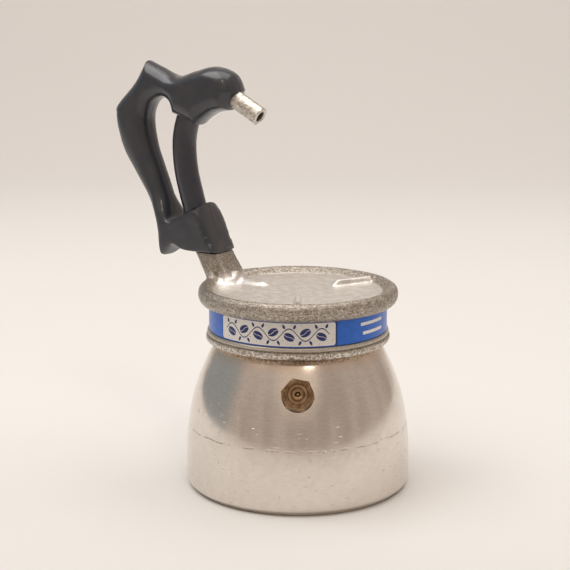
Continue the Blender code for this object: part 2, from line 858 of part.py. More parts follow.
def build_valve(frame, brass, copper, steel):
    seal_low = GAP
    body_low = seal_low + 0.7 + GAP
    body_high = body_low + 6.0
    shank_low = -7.2
    seat_top = -5.2
    cap_seat = body_high - 1.0
    body = hexagon_prism("valve_body", HEX_FLATS, body_low, body_high, brass, HEX_TURN, 0.5)
    shank = [(0, shank_low), (SHANK_R, shank_low), (SHANK_R, body_low + 1.0), (0, body_low + 1.0)]
    bore = [
        (0, shank_low - 1),
        (1.3, shank_low - 1),
        (1.3, seat_top),
        (2.4, seat_top),
        (2.4, cap_seat),
        (3.45, cap_seat),
        (3.45, body_high + 1),
        (0, body_high + 1),
    ]
    shank_tool = turned("shank_shape", shank, None, SMALL_ROUND)
    bore_tool = turned("valve_bore_shape", bore, None, 20)
    join(body, shank_tool)
    cut(body, bore_tool)
    cap_low = cap_seat + 0.25
    pieces = [
        body,
        shank_tool,
        bore_tool,
        turned("valve_washer", tube_outline(5.5, SHANK_R + GAP, seal_low, seal_low + 0.7), copper, SMALL_ROUND),
        turned("valve_cap", tube_outline(3.15, 0.85, cap_low, cap_low + 0.6), brass, SMALL_ROUND),
    ]
    washer_high = -BOSS_DEPTH - GAP
    washer_low = washer_high - 0.6
    pieces.append(
        turned("valve_inner_washer", tube_outline(6.0, SHANK_R + GAP, washer_low, washer_high), copper, SMALL_ROUND)
    )
    nut = hexagon_prism("valve_locknut", 11.0, washer_low - GAP - 2.8, washer_low - GAP, brass, 10.0)
    nut_bore = turned("nut_bore_shape", [(0, -12), (SHANK_R + GAP, -12), (SHANK_R + GAP, 0), (0, 0)], None, SMALL_ROUND)
    cut(nut, nut_bore)
    face = seat_top + GAP
    stem_high = cap_low + 0.45
    poppet = [(0, face), (1.7, face), (2.05, face + 0.4), (2.05, face + 1.2), (0.55, face + 1.2), (0.55, stem_high), (0, stem_high)]
    pieces += [nut, nut_bore, turned("valve_poppet", poppet, brass, 16)]
    pieces.append(spring("valve_spring", face + 1.5, cap_seat + 0.05, steel))
    for piece in pieces:
        piece.parent = frame


def spring(name, low, high, steel):
    """A compression spring round the poppet's stem."""
    coil_r, wire_r, turns, steps = 1.45, 0.26, 6, 10
    count = turns * steps
    start, end = low + wire_r + 0.05, high - wire_r - 0.05
    rings = []
    for k in range(count + 1):
        angle = 2 * math.pi * k / steps
        z = start + (end - start) * k / count
        out = Vector((math.cos(angle), math.sin(angle), 0))
        rings.append(
            [
                tuple(out * (coil_r + wire_r * math.cos(a)) + Vector((0, 0, z + wire_r * math.sin(a))))
                for a in [2 * math.pi * j / 6 for j in range(6)]
            ]
        )
    return add_solid(name, *skin(rings, False), steel)


# ---------------------------------------------------------------- the pot


def main():
    clear_scene()
    aluminium = make_material("spun_aluminium", (0.78, 0.76, 0.73), 0.32, 1.0)
    cast = make_material("cast_aluminium", (0.56, 0.55, 0.53), 0.55, 1.0)
    bakelite = make_material("black_bakelite", (0.018, 0.019, 0.02), 0.28, 0.0)
    brass = make_material("aged_brass", (0.45, 0.31, 0.13), 0.4, 1.0)
    copper = make_material("copper", (0.62, 0.33, 0.22), 0.4, 1.0)
    steel = make_material("steel", (0.6, 0.6, 0.6), 0.3, 1.0)
    rubber = make_material("rubber", (0.72, 0.68, 0.6), 0.8, 0.0)
    enamel = make_material("blue_enamel", (0.03, 0.13, 0.5), 0.3, 0.0)

    valve_frame = valve_axis_frame()
    boiler = build_boiler(aluminium)
    build_valve_seat(boiler, valve_frame)
    build_valve(valve_frame, brass, copper, steel)
    build_filter(aluminium, rubber)
    build_head(cast)
    build_label(enamel)
    build_spout(cast, bakelite)
    build_handle(bakelite, brass, steel)


main()
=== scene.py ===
"""Looks for a stovetop espresso maker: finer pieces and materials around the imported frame.

Lengths are in millimetres and become metres where a mesh is made. The pot stands on the
origin with its handle towards -X, its spout pouring towards +X and its safety valve at -Y.
"""

import math

import bmesh
import bpy
from mathutils import Matrix, Vector, noise
from mathutils.geometry import delaunay_2d_cdt


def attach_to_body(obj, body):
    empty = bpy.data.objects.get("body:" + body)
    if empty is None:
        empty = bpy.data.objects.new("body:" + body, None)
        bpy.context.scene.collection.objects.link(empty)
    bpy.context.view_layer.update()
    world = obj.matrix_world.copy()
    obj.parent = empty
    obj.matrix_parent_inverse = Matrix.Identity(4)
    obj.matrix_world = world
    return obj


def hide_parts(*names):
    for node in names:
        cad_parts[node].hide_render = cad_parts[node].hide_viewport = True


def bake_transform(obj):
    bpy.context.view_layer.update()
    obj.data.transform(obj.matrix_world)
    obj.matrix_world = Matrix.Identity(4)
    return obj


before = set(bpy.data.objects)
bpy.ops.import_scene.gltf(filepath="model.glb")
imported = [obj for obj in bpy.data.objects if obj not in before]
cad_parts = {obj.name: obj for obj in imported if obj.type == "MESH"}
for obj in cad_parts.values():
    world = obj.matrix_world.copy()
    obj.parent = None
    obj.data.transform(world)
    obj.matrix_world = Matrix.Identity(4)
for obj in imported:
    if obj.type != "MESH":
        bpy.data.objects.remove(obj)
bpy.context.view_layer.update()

MM = 0.001
TINY = 1e-6

# Camera
CAMERA_PLACE = (245.4, -425.0, 174.8)
CAMERA_HEADING = 30.54  # degrees, from +Y towards -X
CAMERA_DOWN = 11.84
LENS_MM = 89.27

# Room light
ROOM_TONE = (0.53, 0.45, 0.385)
ROOM_DARK = (0.44, 0.372, 0.32)
ROOM_COOL = (0.325, 0.34, 0.335)
ROOM_GLOW = (0.72, 0.6, 0.49)
LAMP_TONE = (1.0, 0.985, 0.965)
BULB_TONE = (1.0, 0.93, 0.84)

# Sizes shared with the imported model
SHOULDER_Z = 52.0
NECK_R = 27.1
NECK_BORE_R = 25.2
NECK_TOP_Z = 61.8
PITCH = 2.5
THREAD_LOW_Z = 54.0
THREAD_TURNS = 2.25
BOILER_THREAD = 0.9
HEAD_THREAD = 0.95
HEAD_LOW_Z = 52.5
HEAD_BORE_R = 28.35
REST_AZIMUTHS = (60.0, -60.0)
NECK_FILLET = 2.4
BAND_R = 31.15
BAND_LOW_Z = 56.9
BAND_HIGH_Z = 66.0
LABEL_DEGREE = math.radians(1) * (BAND_R + 0.65)  # length of one degree along the label
DISH_R = 30.6
DISH_Z = 70.2
LEAN = (0.518, 0.855)
NECK_FOOT = (30.9, 73.4)
TENON_TOP_Z = 90.5
TENON_SHIFT = 0.6
TUBE_R = 3.3
TUBE_BORE_R = 1.93
SLEEVE_R = 4.4
SLEEVE_FOOT = (38.1, 98.6)
SLEEVE_HEEL = (50.0, 92.0)
SLEEVE_TOP_Z = 131.0
VALVE_AZIMUTH = -60.0
VALVE_LIFT = 22.5
VALVE_R = 34.35
VALVE_Z = 40.8


# ---- mesh helpers


def piece(name, part, body, material, replaces=(), crease=40.0):
    """A named piece from (points in millimetres, faces), riding on a body of the frame."""
    points, faces = part
    mesh = bpy.data.meshes.new(name)
    mesh.from_pydata([Vector(p) * MM for p in points], [], faces)
    work = bmesh.new()
    work.from_mesh(mesh)
    bmesh.ops.recalc_face_normals(work, faces=work.faces)
    work.to_mesh(mesh)
    work.free()
    mesh.shade_smooth()
    mesh.set_sharp_from_angle(angle=math.radians(crease))
    obj = bpy.data.objects.new(name, mesh)
    bpy.context.collection.objects.link(obj)
    mesh.materials.append(material)
    return attach(obj, body, replaces)


def attach(obj, body, replaces=()):
    """Says which body carries a piece and the nodes it stands for."""
    if body:
        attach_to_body(obj, body)
    if replaces:
        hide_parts(*replaces)
    return obj


def skin(rings, wrap=False):
    """Points and faces over rings of equal count; a ring of one point is a pole.
    With wrap the last ring joins the first, else the two ends are capped."""
    points, index = [], []
    for ring in rings:
        index.append(range(len(points), len(points) + len(ring)))
        points.extend(ring)
    faces = []
    pairs = list(zip(index, index[1:]))
    if wrap:
        pairs.append((index[-1], index[0]))
    for a, b in pairs:
        count = max(len(a), len(b))
        for k in range(count):
            after = (k + 1) % count
            if len(a) == 1 and len(b) == 1:
                break
            if len(a) == 1:
                faces.append((a[0], b[k], b[after]))
            elif len(b) == 1:
                faces.append((a[k], b[0], a[after]))
            else:
                faces.append((a[k], b[k], b[after], a[after]))
    if not wrap:
        faces.extend(tuple(ring) for ring in (index[0], index[-1]) if len(ring) > 1)
    return points, faces


def merged(*parts):
    """One list of points and one of faces from several."""
    points, faces = [], []
    for part_points, part_faces in parts:
        faces.extend(tuple(i + len(points) for i in face) for face in part_faces)
        points.extend(part_points)
    return points, faces


def around(count):
    """Evenly spaced angles of a full turn."""
    return [2 * math.pi * k / count for k in range(count)]


def circle(radius, z, sides):
    """A level ring about the axis, or one point when it has no radius."""
    if radius < TINY:
        return [(0.0, 0.0, z)]
    return [(radius * math.cos(a), radius * math.sin(a), z) for a in around(sides)]


def revolve(outline, sides):
    """Turns (radius, height) points about the axis; both ends on it make a closed solid."""
    ring_shaped = not (outline[0][0] < TINY and outline[-1][0] < TINY)
    return skin([circle(radius, z, sides) for radius, z in outline], ring_shaped)


def smooth_line(points, corners=(), steps=4, closed=False):
    """A Catmull-Rom curve through points. At the indices in corners it turns sharply."""
    count = len(points)
    spans = count if closed else count - 1
    found = []
    for i in range(spans):
        p1, p2 = Vector(points[i]), Vector(points[(i + 1) % count])
        before = points[i - 1] if closed or i else points[i]
        after = points[(i + 2) % count] if closed or i + 2 < count else points[i + 1]
        p0 = p1 if i in corners else Vector(before)
        p3 = p2 if (i + 1) % count in corners else Vector(after)
        for k in range(steps):
            t = k / steps
            linear = (p2 - p0) * t
            square = (2 * p0 - 5 * p1 + 4 * p2 - p3) * t * t
            cube = (3 * p1 - p0 - 3 * p2 + p3) * t**3
            found.append(0.5 * (2 * p1 + linear + square + cube))
    if not closed:
        found.append(Vector(points[-1]))
    return found


def fade(value, low, high):
    """0 below low, 1 above high, smooth between them."""
    t = min(max((value - low) / (high - low), 0.0), 1.0)
    return t * t * (3 - 2 * t)


def sweep_rings(path, radius, sides, wobble=None):
    """Rings square to a path of (distance towards the handle, height) points."""
    rings = []
    for i, here in enumerate(path):
        along = (path[min(i + 1, len(path) - 1)] - path[max(i - 1, 0)]).normalized()
        across = Vector((along.y, -along.x))
        ring = []
        for angle in around(sides):
            r = radius + (wobble(i, angle) if wobble else 0.0)
            flat = here + across * r * math.cos(angle)
            ring.append((-flat.x, r * math.sin(angle), flat.y))
        rings.append(ring)
    return rings


def side_ring(reach, z, radius, count):
    """Points round a place in the side view, as (distance towards the handle, height)."""
    return [Vector((reach + radius * math.cos(a), z + radius * math.sin(a))) for a in around(count)]


def neck_centre(z):
    """Distance of the leaning neck's centre line from the pot's axis at a height."""
    return NECK_FOOT[0] + (z - NECK_FOOT[1]) * LEAN[0] / LEAN[1]


# ---- materials


class Graph:
    """Short calls that add shader nodes to one tree and link them."""

    def __init__(self, tree, coordinates, unit):
        """unit turns a frequency per length into one per unit of the coordinates."""
        self.tree = tree
        self.unit = unit
        self.where = self.add("ShaderNodeTexCoord").outputs[coordinates]

    def add(self, kind, inputs=None, **settings):
        """A node with its settings; each input is a socket to link or a plain value."""
        node = self.tree.nodes.new(kind)
        for key, value in settings.items():
            setattr(node, key, value)
        for key, value in (inputs or {}).items():
            if isinstance(value, bpy.types.NodeSocket):
                self.link(value, node.inputs[key])
            else:
                node.inputs[key].default_value = value
        return node

    def link(self, source, target):
        self.tree.links.new(source, target)

    def math(self, operation, a, b=0.0):
        return self.add("ShaderNodeMath", {0: a, 1: b}, operation=operation).outputs[0]

    def times(self, a, b):
        return self.math("MULTIPLY", a, b)

    def plus(self, a, b):
        return self.math("ADD", a, b)

    def minus(self, a, b):
        return self.math("SUBTRACT", a, b)

    def stretched(self, x, y, z):
        """Coordinates with a frequency per unit of length on each axis."""
        scale = (x * self.unit, y * self.unit, z * self.unit)
        return self.add("ShaderNodeMapping", {"Vector": self.where, "Scale": scale}).outputs[0]

    def noise(self, frequency, detail=2.0, roughness=0.5, vector=None, distortion=0.0):
        inputs = {"Vector": vector or self.stretched(1, 1, 1), "Scale": frequency}
        inputs.update({"Detail": detail, "Roughness": roughness, "Distortion": distortion})
        return self.add("ShaderNodeTexNoise", inputs).outputs["Fac"]

    def ramp(self, value, low, high, start=0.0, end=1.0, ease="SMOOTHSTEP"):
        """Maps low..high to start..end."""
        inputs = dict(enumerate((value, low, high, start, end)))
        return self.add("ShaderNodeMapRange", inputs, interpolation_type=ease).outputs[0]

    def mix(self, share, a, b):
        """A share of the way from colour a to colour b."""
        a, b = ((*c, 1.0) if isinstance(c, tuple) else c for c in (a, b))
        return self.add("ShaderNodeMix", {0: share, 6: a, 7: b}, data_type="RGBA").outputs[2]


class Nodes(Graph):
    """One material on a Principled shader, painted in millimetres."""

    def __init__(self, name, colour, roughness, metallic):
        self.material = bpy.data.materials.new(name)
        self.material.use_nodes = True
        super().__init__(self.material.node_tree, "Object", 1.0 / MM)
        self.shader = self.tree.nodes["Principled BSDF"]
        self.set("Base Color", (*colour, 1.0))
        self.set("Roughness", roughness)
        self.set("Metallic", metallic)

    def set(self, socket, value):
        self.shader.inputs[socket].default_value = value

    def put(self, source, socket):
        self.link(source, self.shader.inputs[socket])

    def paint(self, mask, low, high, tone_a, tone_b):
        """Base colour from tone_a to tone_b where the mask goes from low to high."""
        self.put(self.mix(self.ramp(mask, low, high), tone_a, tone_b), "Base Color")

    def polish(self, mask, low, high):
        """Roughness from low to high over the middle of the mask."""
        self.put(self.ramp(mask, 0.3, 0.7, low, high), "Roughness")

    def axis(self, name):
        """A coordinate in millimetres: X, Y or Z."""
        split = self.add("ShaderNodeSeparateXYZ", {0: self.where})
        return self.times(split.outputs[name], self.unit)

    def cells(self, frequency, vector=None):
        """Distance to the nearest of scattered points."""
        inputs = {"Vector": vector or self.stretched(1, 1, 1), "Scale": frequency}
        return self.add("ShaderNodeTexVoronoi", inputs).outputs["Distance"]

    def bump(self, height, strength, distance_mm, below=None):
        """Raises the surface by height, on top of the bump below it."""
        inputs = {"Strength": strength, "Distance": distance_mm * MM, "Height": height}
        if below:
            inputs["Normal"] = below
        normal = self.add("ShaderNodeBump", inputs).outputs[0]
        self.put(normal, "Normal")
        return normal


def spun_aluminium():
    """Satin spun metal with faint turning lines, a worn ring, short scratches and pits, and painted
    shade and reflection of the head's ring: a warm brown band on the shoulder under it.
    """
    ring_z, ring_shade_z = 23.0, (46.0, 51.5)
    clean, dulled = (0.8, 0.745, 0.69), (0.71, 0.65, 0.595)
    hazy, rubbed = (0.68, 0.62, 0.56), (0.6, 0.54, 0.485)
    ring_shade_tint, grime, scratch = (0.7, 0.52, 0.38), (0.2, 0.16, 0.12), (0.42, 0.35, 0.29)
    n = Nodes("spun_aluminium", (0.83, 0.78, 0.73), 0.15, 1.0)
    height = n.axis("Z")
    lines = n.noise(1.0, 3.0, 0.6, n.stretched(0.02, 0.02, 3.0))
    haze = n.noise(0.3, 4.0, 0.65)
    tone = n.mix(n.noise(0.06, 3.0, 0.6), clean, dulled)
    tone = n.mix(n.ramp(haze, 0.42, 0.7, 0.0, 0.35), tone, hazy)
    # painted shade and reflection of the head's ring: the shoulder turns warm brown towards the top
    tone = n.mix(n.ramp(height, *ring_shade_z, 0.0, 0.6), tone, ring_shade_tint)
    rubs = n.noise(1.0, 4.0, 0.7, n.stretched(0.45, 0.45, 1.5))
    tone = n.mix(n.ramp(rubs, 0.42, 0.68, 0.0, 0.34), tone, rubbed)
    pits = n.ramp(n.cells(0.2), 0.035, 0.075, 1.0, 0.0)
    pits = n.times(pits, n.ramp(n.noise(0.13, 2.0), 0.47, 0.56))
    tone = n.mix(n.times(pits, 0.8), tone, grime)
    wander = n.times(n.minus(n.noise(0.08, 2.0), 0.5), 1.6)
    ring = n.math("ABSOLUTE", n.minus(n.minus(height, ring_z), wander))
    ring = n.ramp(ring, 0.12, 0.42, 1.0, 0.0)
    ring = n.times(ring, n.ramp(n.noise(0.42, 3.0, 0.65), 0.49, 0.53))
    strokes = n.ramp(n.cells(1.0, n.stretched(0.12, 0.12, 0.9)), 0.06, 0.13, 1.0, 0.0)
    strokes = n.times(strokes, n.ramp(n.noise(0.17, 2.0), 0.42, 0.5))
    strokes = n.times(strokes, n.ramp(height, 28.0, 38.0, 1.0, 0.25))
    upright = n.ramp(n.cells(1.0, n.stretched(0.55, 0.55, 0.09)), 0.045, 0.1, 1.0, 0.0)
    upright = n.times(upright, n.ramp(n.noise(0.1, 2.0, 0.5), 0.5, 0.56))
    marks = n.math("MAXIMUM", ring, n.math("MAXIMUM", strokes, upright))
    n.put(n.mix(n.times(marks, 0.34), tone, scratch), "Base Color")
    rough = n.ramp(haze, 0.3, 0.75, 0.11, 0.18)
    rough = n.plus(rough, n.ramp(height, 20.0, 27.0, 0.05, 0.0))
    rough = n.plus(rough, n.ramp(height, 38.0, 50.0, 0.0, 0.06))
    n.put(n.plus(rough, n.times(lines, 0.03)), "Roughness")
    n.set("Anisotropic", 0.35)
    n.set("Anisotropic Rotation", 0.25)
    n.put(n.add("ShaderNodeTangent", direction_type="RADIAL", axis="Z").outputs[0], "Tangent")
    normal = n.bump(lines, 0.08, 0.02)
    normal = n.bump(n.noise(0.07, 2.0, 0.4), 0.15, 0.25, normal)
    normal = n.bump(marks, 0.9, -0.1, normal)
    n.bump(pits, 0.9, -0.15, normal)
    return n.material


def cast_aluminium(name, grain, strength, dark, light, dirt, lid_radius=0.0):
    """Cast metal: bright worn facets, darker hollows with dirt, and fine grain.
    Inside lid_radius, in millimetres, and under the band it is smoother, as if rubbed."""
    n = Nodes(name, light, 0.4, 1.0)
    side, up = grain * 0.75, grain * 1.5
    coarse = n.noise(1.0, 4.0, 0.7, n.stretched(side, side, up), distortion=0.8)
    fine = n.noise(grain * 2.2, 3.0, 0.7)
    patch = n.noise(0.12, 3.0, 0.6)
    middle = tuple((a + b) / 2 for a, b in zip(dark, light))
    tone = n.mix(n.ramp(coarse, 0.38, 0.62), dark, light)
    tone = n.mix(n.ramp(patch, 0.4, 0.7, 0.0, 0.4), tone, middle)
    pit = n.ramp(n.noise(grain * 0.6, 3.0, 0.7), 0.58, 0.7)
    tone = n.mix(n.times(pit, dirt), tone, tuple(c * 0.45 for c in dark))
    depth = 1.0
    if lid_radius:
        tone, smoothed = worn_head(n, tone, coarse, grain, dark, lid_radius)
        depth = n.minus(1.0, n.times(smoothed, 0.72))
    n.put(tone, "Base Color")
    n.polish(fine, 0.29, 0.5)
    normal = n.bump(n.times(coarse, depth), strength, 0.4)
    n.bump(n.times(fine, depth), strength * 0.7, 0.16, normal)
    return n.material


def worn_head(n, tone, coarse, grain, dark, lid_radius):
    """The head's own wear: a rubbed lid, a turned stripe under the band, and bright flecks."""
    fleck_tone, stripe_tone = (0.95, 0.9, 0.83), (0.57, 0.515, 0.455)
    worn_dark = (0.56, 0.525, 0.48)
    lid_tones = (0.78, 0.755, 0.72), (0.96, 0.935, 0.9)
    bead_z, neck_z = 54.9, (73.5, 78.0)
    across = n.math("POWER", n.axis("X"), 2.0)
    across = n.math("SQRT", n.plus(across, n.math("POWER", n.axis("Y"), 2.0)))
    height = n.axis("Z")
    rubbed = n.ramp(across, lid_radius, lid_radius - 1.2)
    rubbed = n.times(rubbed, n.ramp(height, 69.5, 69.8))
    rubbed = n.times(rubbed, n.ramp(height, 75.0, 73.0))
    stripe = n.times(n.ramp(height, bead_z, 55.5), n.ramp(height, 60.0, 58.0))
    fleck = n.ramp(n.noise(grain * 0.8, 3.0, 0.75), 0.56, 0.66, 0.0, 0.6)
    tone = n.mix(fleck, tone, fleck_tone)
    tone = n.mix(n.ramp(height, *neck_z, 0.0, 0.4), tone, dark)
    fleck = n.ramp(n.noise(grain * 0.9, 3.0, 0.7), 0.47, 0.56, 0.0, 0.85)
    tone = n.mix(n.times(n.ramp(height, bead_z, 54.3), fleck), tone, fleck_tone)
    worn = n.mix(n.ramp(n.noise(0.3, 4.0, 0.65), 0.35, 0.65), *lid_tones)
    worn = n.mix(n.ramp(coarse, 0.35, 0.65, 0.0, 0.35), worn, worn_dark)
    tone = n.mix(rubbed, tone, worn)
    tone = n.mix(n.times(stripe, 0.6), tone, stripe_tone)
    return tone, n.math("MAXIMUM", rubbed, stripe)


def bakelite(name, tone_a, tone_b, smooth, rough, held=0.0):
    """Old black moulded plastic: faint mottling, hairline scratches and worn edges.
    The grip, where a hand holds it, is duller by held."""
    n = Nodes(name, tone_a, 0.3, 0.0)
    mottle = n.noise(0.13, 4.0, 0.62)
    cloud = n.noise(0.45, 3.0, 0.6)
    tone = n.mix(n.ramp(mottle, 0.35, 0.68), tone_a, tone_b)
    edge = n.add("ShaderNodeNewGeometry").outputs["Pointiness"]
    worn = n.times(n.ramp(edge, 0.54, 0.62), n.ramp(cloud, 0.4, 0.65))
    tone = n.mix(n.times(worn, 0.35), tone, (0.16, 0.125, 0.09))
    n.put(tone, "Base Color")
    grip = n.times(n.ramp(n.axis("Z"), 130.0, 118.0), n.ramp(n.axis("X"), -47.0, -53.0))
    n.put(n.plus(n.ramp(cloud, 0.3, 0.72, smooth, rough), n.times(grip, held)), "Roughness")
    n.set("Coat Weight", 0.5)
    n.set("Coat Roughness", 0.13)
    normal = n.bump(n.noise(0.3, 3.0, 0.5), 0.18, 0.3)
    hair = n.cells(0.5, n.stretched(0.25, 1.3, 1.1))
    normal = n.bump(n.ramp(hair, 0.01, 0.035, 1.0, 0.0), 0.2, -0.04, normal)
    n.bump(n.noise(4.0, 2.0, 0.6), 0.06, 0.04, normal)
    return n.material


def brass(name, dark, light, rough):
    """Tarnished brass with a greasy patina."""
    n = Nodes(name, light, rough, 1.0)
    patina = n.noise(0.5, 4.0, 0.65)
    grain = n.noise(3.0, 3.0, 0.6)
    tone = n.mix(n.ramp(patina, 0.35, 0.7), dark, light)
    edge = n.add("ShaderNodeNewGeometry").outputs["Pointiness"]
    tone = n.mix(n.ramp(edge, 0.52, 0.6, 0.0, 0.6), tone, tuple(min(c * 1.8, 1.0) for c in light))
    n.put(tone, "Base Color")
    n.polish(grain, rough - 0.08, rough + 0.1)
    normal = n.bump(grain, 0.2, 0.05)
    n.bump(n.cells(1.2), 0.1, 0.08, normal)
    return n.material


def plain_metal(name, colour, rough, line_frequency):
    """Turned or drawn metal: fine lines, stains and small nicks."""
    n = Nodes(name, colour, rough, 1.0)
    lines = n.noise(1.0, 2.0, 0.6, n.stretched(0.05, 0.05, line_frequency))
    n.paint(n.noise(0.4, 4.0, 0.6), 0.4, 0.75, colour, tuple(c * 0.6 for c in colour))
    n.polish(lines, rough - 0.08, rough + 0.12)
    normal = n.bump(lines, 0.2, 0.03)
    n.bump(n.noise(1.3, 3.0, 0.6), 0.15, 0.08, normal)
    return n.material


def print_colour(name, colour, metallic, rough, vary):
    """Ink or bare foil on a thin metal strip, slightly faded and rubbed."""
    n = Nodes(name, colour, rough, metallic)
    faded = tuple(min(c * vary + 0.01, 1.0) for c in colour)
    n.paint(n.noise(0.5, 4.0, 0.6), 0.35, 0.75, colour, faded)
    n.polish(n.noise(1.5, 3.0, 0.6), rough - 0.06, rough + 0.08)
    normal = n.bump(n.noise(0.25, 2.0, 0.5), 0.2, 0.12)
    n.bump(n.noise(5.0, 2.0, 0.6), 0.05, 0.03, normal)
    n.set("Coat Weight", 0.12)
    n.set("Coat Roughness", 0.15)
    return n.material


def rubber():
    """Cream rubber stained by coffee."""
    cream, coffee = (0.62, 0.57, 0.48), (0.38, 0.27, 0.17)
    n = Nodes("gasket_rubber", cream, 0.75, 0.0)
    n.paint(n.noise(0.3, 4.0, 0.65), 0.4, 0.7, cream, coffee)
    n.polish(n.noise(2.0, 2.0), 0.65, 0.85)
    n.bump(n.noise(2.5, 4.0, 0.6), 0.2, 0.1)
    return n.material


# ---- boiler


BOILER_R = 40.15
BOILER_WALL = 1.8
BOILER_FLOOR = 2.6
BOILER_SIDES = 200


def belly_radius(z):
    """Outside radius of the belly, which closes in faster with height."""
    full = BOILER_R - 3.76e-4 * max(z - 5.0, 0.0) ** 2.68
    return full + 0.25 * fade(z, 44.0, 50.0)


def build_boiler(material):
    """The spun boiler, open at its neck, and the thread round the neck."""
    foot = [(0.0, 0.35), (30.0, 0.35), (31.2, 0.0), (38.1, 0.0), (38.4, 0.1), (39.2, 1.25)]
    foot += [(39.36, 1.42), (39.6, 1.62), (39.85, 2.1), (40.02, 2.9), (40.11, 3.9)]
    wall = [(belly_radius(z), z) for z in [5.0 + 0.75 * k for k in range(62)]]
    top = [(28.7, 51.7), (28.2, SHOULDER_Z), (NECK_R + 0.3, SHOULDER_Z), (NECK_R, SHOULDER_Z + 0.3)]
    lip = [(NECK_R, NECK_TOP_Z - 0.3), (NECK_R - 0.3, NECK_TOP_Z), (NECK_BORE_R + 0.3, NECK_TOP_Z)]
    lip += [(NECK_BORE_R, NECK_TOP_Z - 0.3), (NECK_BORE_R, SHOULDER_Z)]
    inner = [(belly_radius(z) - BOILER_WALL, z - 0.4) for z in [50.0 - 3.0 * k for k in range(16)]]
    inner += [(37.3, 3.6), (35.0, BOILER_FLOOR), (0.0, BOILER_FLOOR)]
    shell = revolve(foot + wall + top + lip + inner, BOILER_SIDES)
    piece("boiler_shell", shell, "boiler", material, ["boiler"], 50.0)
    ridge = thread_ridge(NECK_R, NECK_R + BOILER_THREAD, 0.0)
    piece("boiler_thread", ridge, "boiler", material)


def thread_ridge(root_r, crest_r, phase):
    """One helical ridge with rounded ends, sunk a little into the wall it grows from."""
    steps, root_half, crest_half = 90, 0.8, 0.22
    sunk_r = root_r - math.copysign(0.3, crest_r - root_r)
    count = int(THREAD_TURNS * steps)
    rings = []
    for k in range(count + 1):
        angle = 2 * math.pi * k / steps
        z = THREAD_LOW_Z + PITCH * (k / steps + phase)
        grown = min(fade(k, -1, 12), fade(count - k, -1, 12))
        crest = root_r + (crest_r - root_r) * grown
        section = ((sunk_r, -root_half), (crest, -crest_half), (crest, crest_half), (sunk_r, root_half))
        rings.append([(r * math.cos(angle), r * math.sin(angle), z + dz) for r, dz in section])
    return skin(rings)


# ---- head casting


def spaced(points, step):
    """Points at an even spacing along a polyline."""
    line = [Vector(p) for p in points]
    found = [line[0]]
    for a, b in zip(line, line[1:]):
        count = max(round((b - a).length / step), 1)
        found.extend(a.lerp(b, k / count) for k in range(1, count + 1))
    return found


def head_profile(step):
    """Closed (radius, height) loop of the casting's turned body, from its low inner edge."""
    bead = [(31.2, HEAD_LOW_Z), (32.0, 52.75), (32.5, 53.35), (32.7, 54.1), (32.5, 54.85)]
    bead += [(31.95, 55.2), (31.9, 55.4), (32.2, 55.6), (32.3, 56.0), (32.2, 56.5)]
    bead += [(31.8, BAND_LOW_Z - 0.05), (BAND_R, BAND_LOW_Z)]
    rim = [(BAND_R, BAND_HIGH_Z), (33.1, 66.02), (34.1, 66.4), (34.85, 67.25), (35.3, 68.4)]
    rim += [(35.4, 69.5), (35.2, 70.8), (34.6, 71.75), (33.7, 72.25), (32.8, 72.2)]
    rim += [(31.9, 71.75), (31.0, 71.0), (30.2, 70.45), (29.0, DISH_Z), (27.5, DISH_Z)]
    outer = [Vector((HEAD_BORE_R, HEAD_LOW_Z))] + smooth_line(bead, steps=5)
    outer += smooth_line(rim, steps=5)
    lid = [(27.5, DISH_Z), (0.0, DISH_Z)]
    under = [(0.0, 67.6), (19.0, 67.6), (20.0, 66.6), (24.5, 66.5), (24.5, 65.5)]
    under += [(HEAD_BORE_R, 65.5), (HEAD_BORE_R, HEAD_LOW_Z + 0.5)]
    return spaced(outer, step)[:-1] + spaced(lid, step) + [Vector(p) for p in under]


def rib_height(x, y, azimuth):
    """A cup rest: a narrow tapered rib that runs out from the lid's middle."""
    inner, outer = (12.6, 17.0), (31.9, 33.2)
    height, crown, foot = 2.0, 0.5, 1.75
    c, s = math.cos(math.radians(azimuth)), math.sin(math.radians(azimuth))
    along, across = x * c + y * s, y * c - x * s
    ends = fade(along, *inner) * (1.0 - fade(along, *outer))
    return height * ends * (1.0 - fade(abs(across), crown, foot))


def duct_height(x, y):
    """The raised back of the coffee duct, from near the lid's centre to the neck's foot."""
    reach = -x
    foot = fade(reach, 22.0, 31.0)
    high = 1.9 * fade(reach, 9.5, 15.0) + 2.6 * foot
    half_width = 3.25 + 2.0 * fade(reach, 11.0, 22.0) + 2.75 * foot
    return high * (1.0 - fade(abs(y), 0.0, half_width))


def neck_gap(x, y, z):
    """Rough distance from a point to the side of the neck at its height."""
    half_x, half_y, power = neck_section(z)
    u, v = (x + neck_centre(z)) / half_x, y / half_y
    size = (abs(u) ** power + abs(v) ** power) ** (1.0 / power)
    return (size - 1.0) * min(half_x, half_y)


def fillet(gap, radius):
    """Height of a round fillet at a distance from a wall."""
    if gap >= radius:
        return 0.0
    return radius - math.sqrt(max(radius**2 - (radius - max(gap, 0.0)) ** 2, 0.0))


def smooth_max(a, b, ease):
    """The larger of two heights, blended where they differ by less than ease."""
    near = max(ease - abs(a - b), 0.0) / ease
    return max(a, b) + near * near * ease / 4.0


def lid_surface(x, y, z):
    """Height of the lid or rim at a point, with the ribs, the duct and the neck's root."""
    radius = math.hypot(x, y)
    for azimuth in REST_AZIMUTHS:
        z = smooth_max(z, DISH_Z - 0.35 + rib_height(x, y, azimuth) * 1.2, 0.3)
    z = smooth_max(z, DISH_Z - 0.5 + duct_height(x, y) * 1.12, 0.7)
    root = fillet(neck_gap(x, y, 72.0), NECK_FILLET) * (1.0 - fade(radius, 33.8, 35.2))
    return z + root * (1.0 - fade(z, 72.4, 74.0))


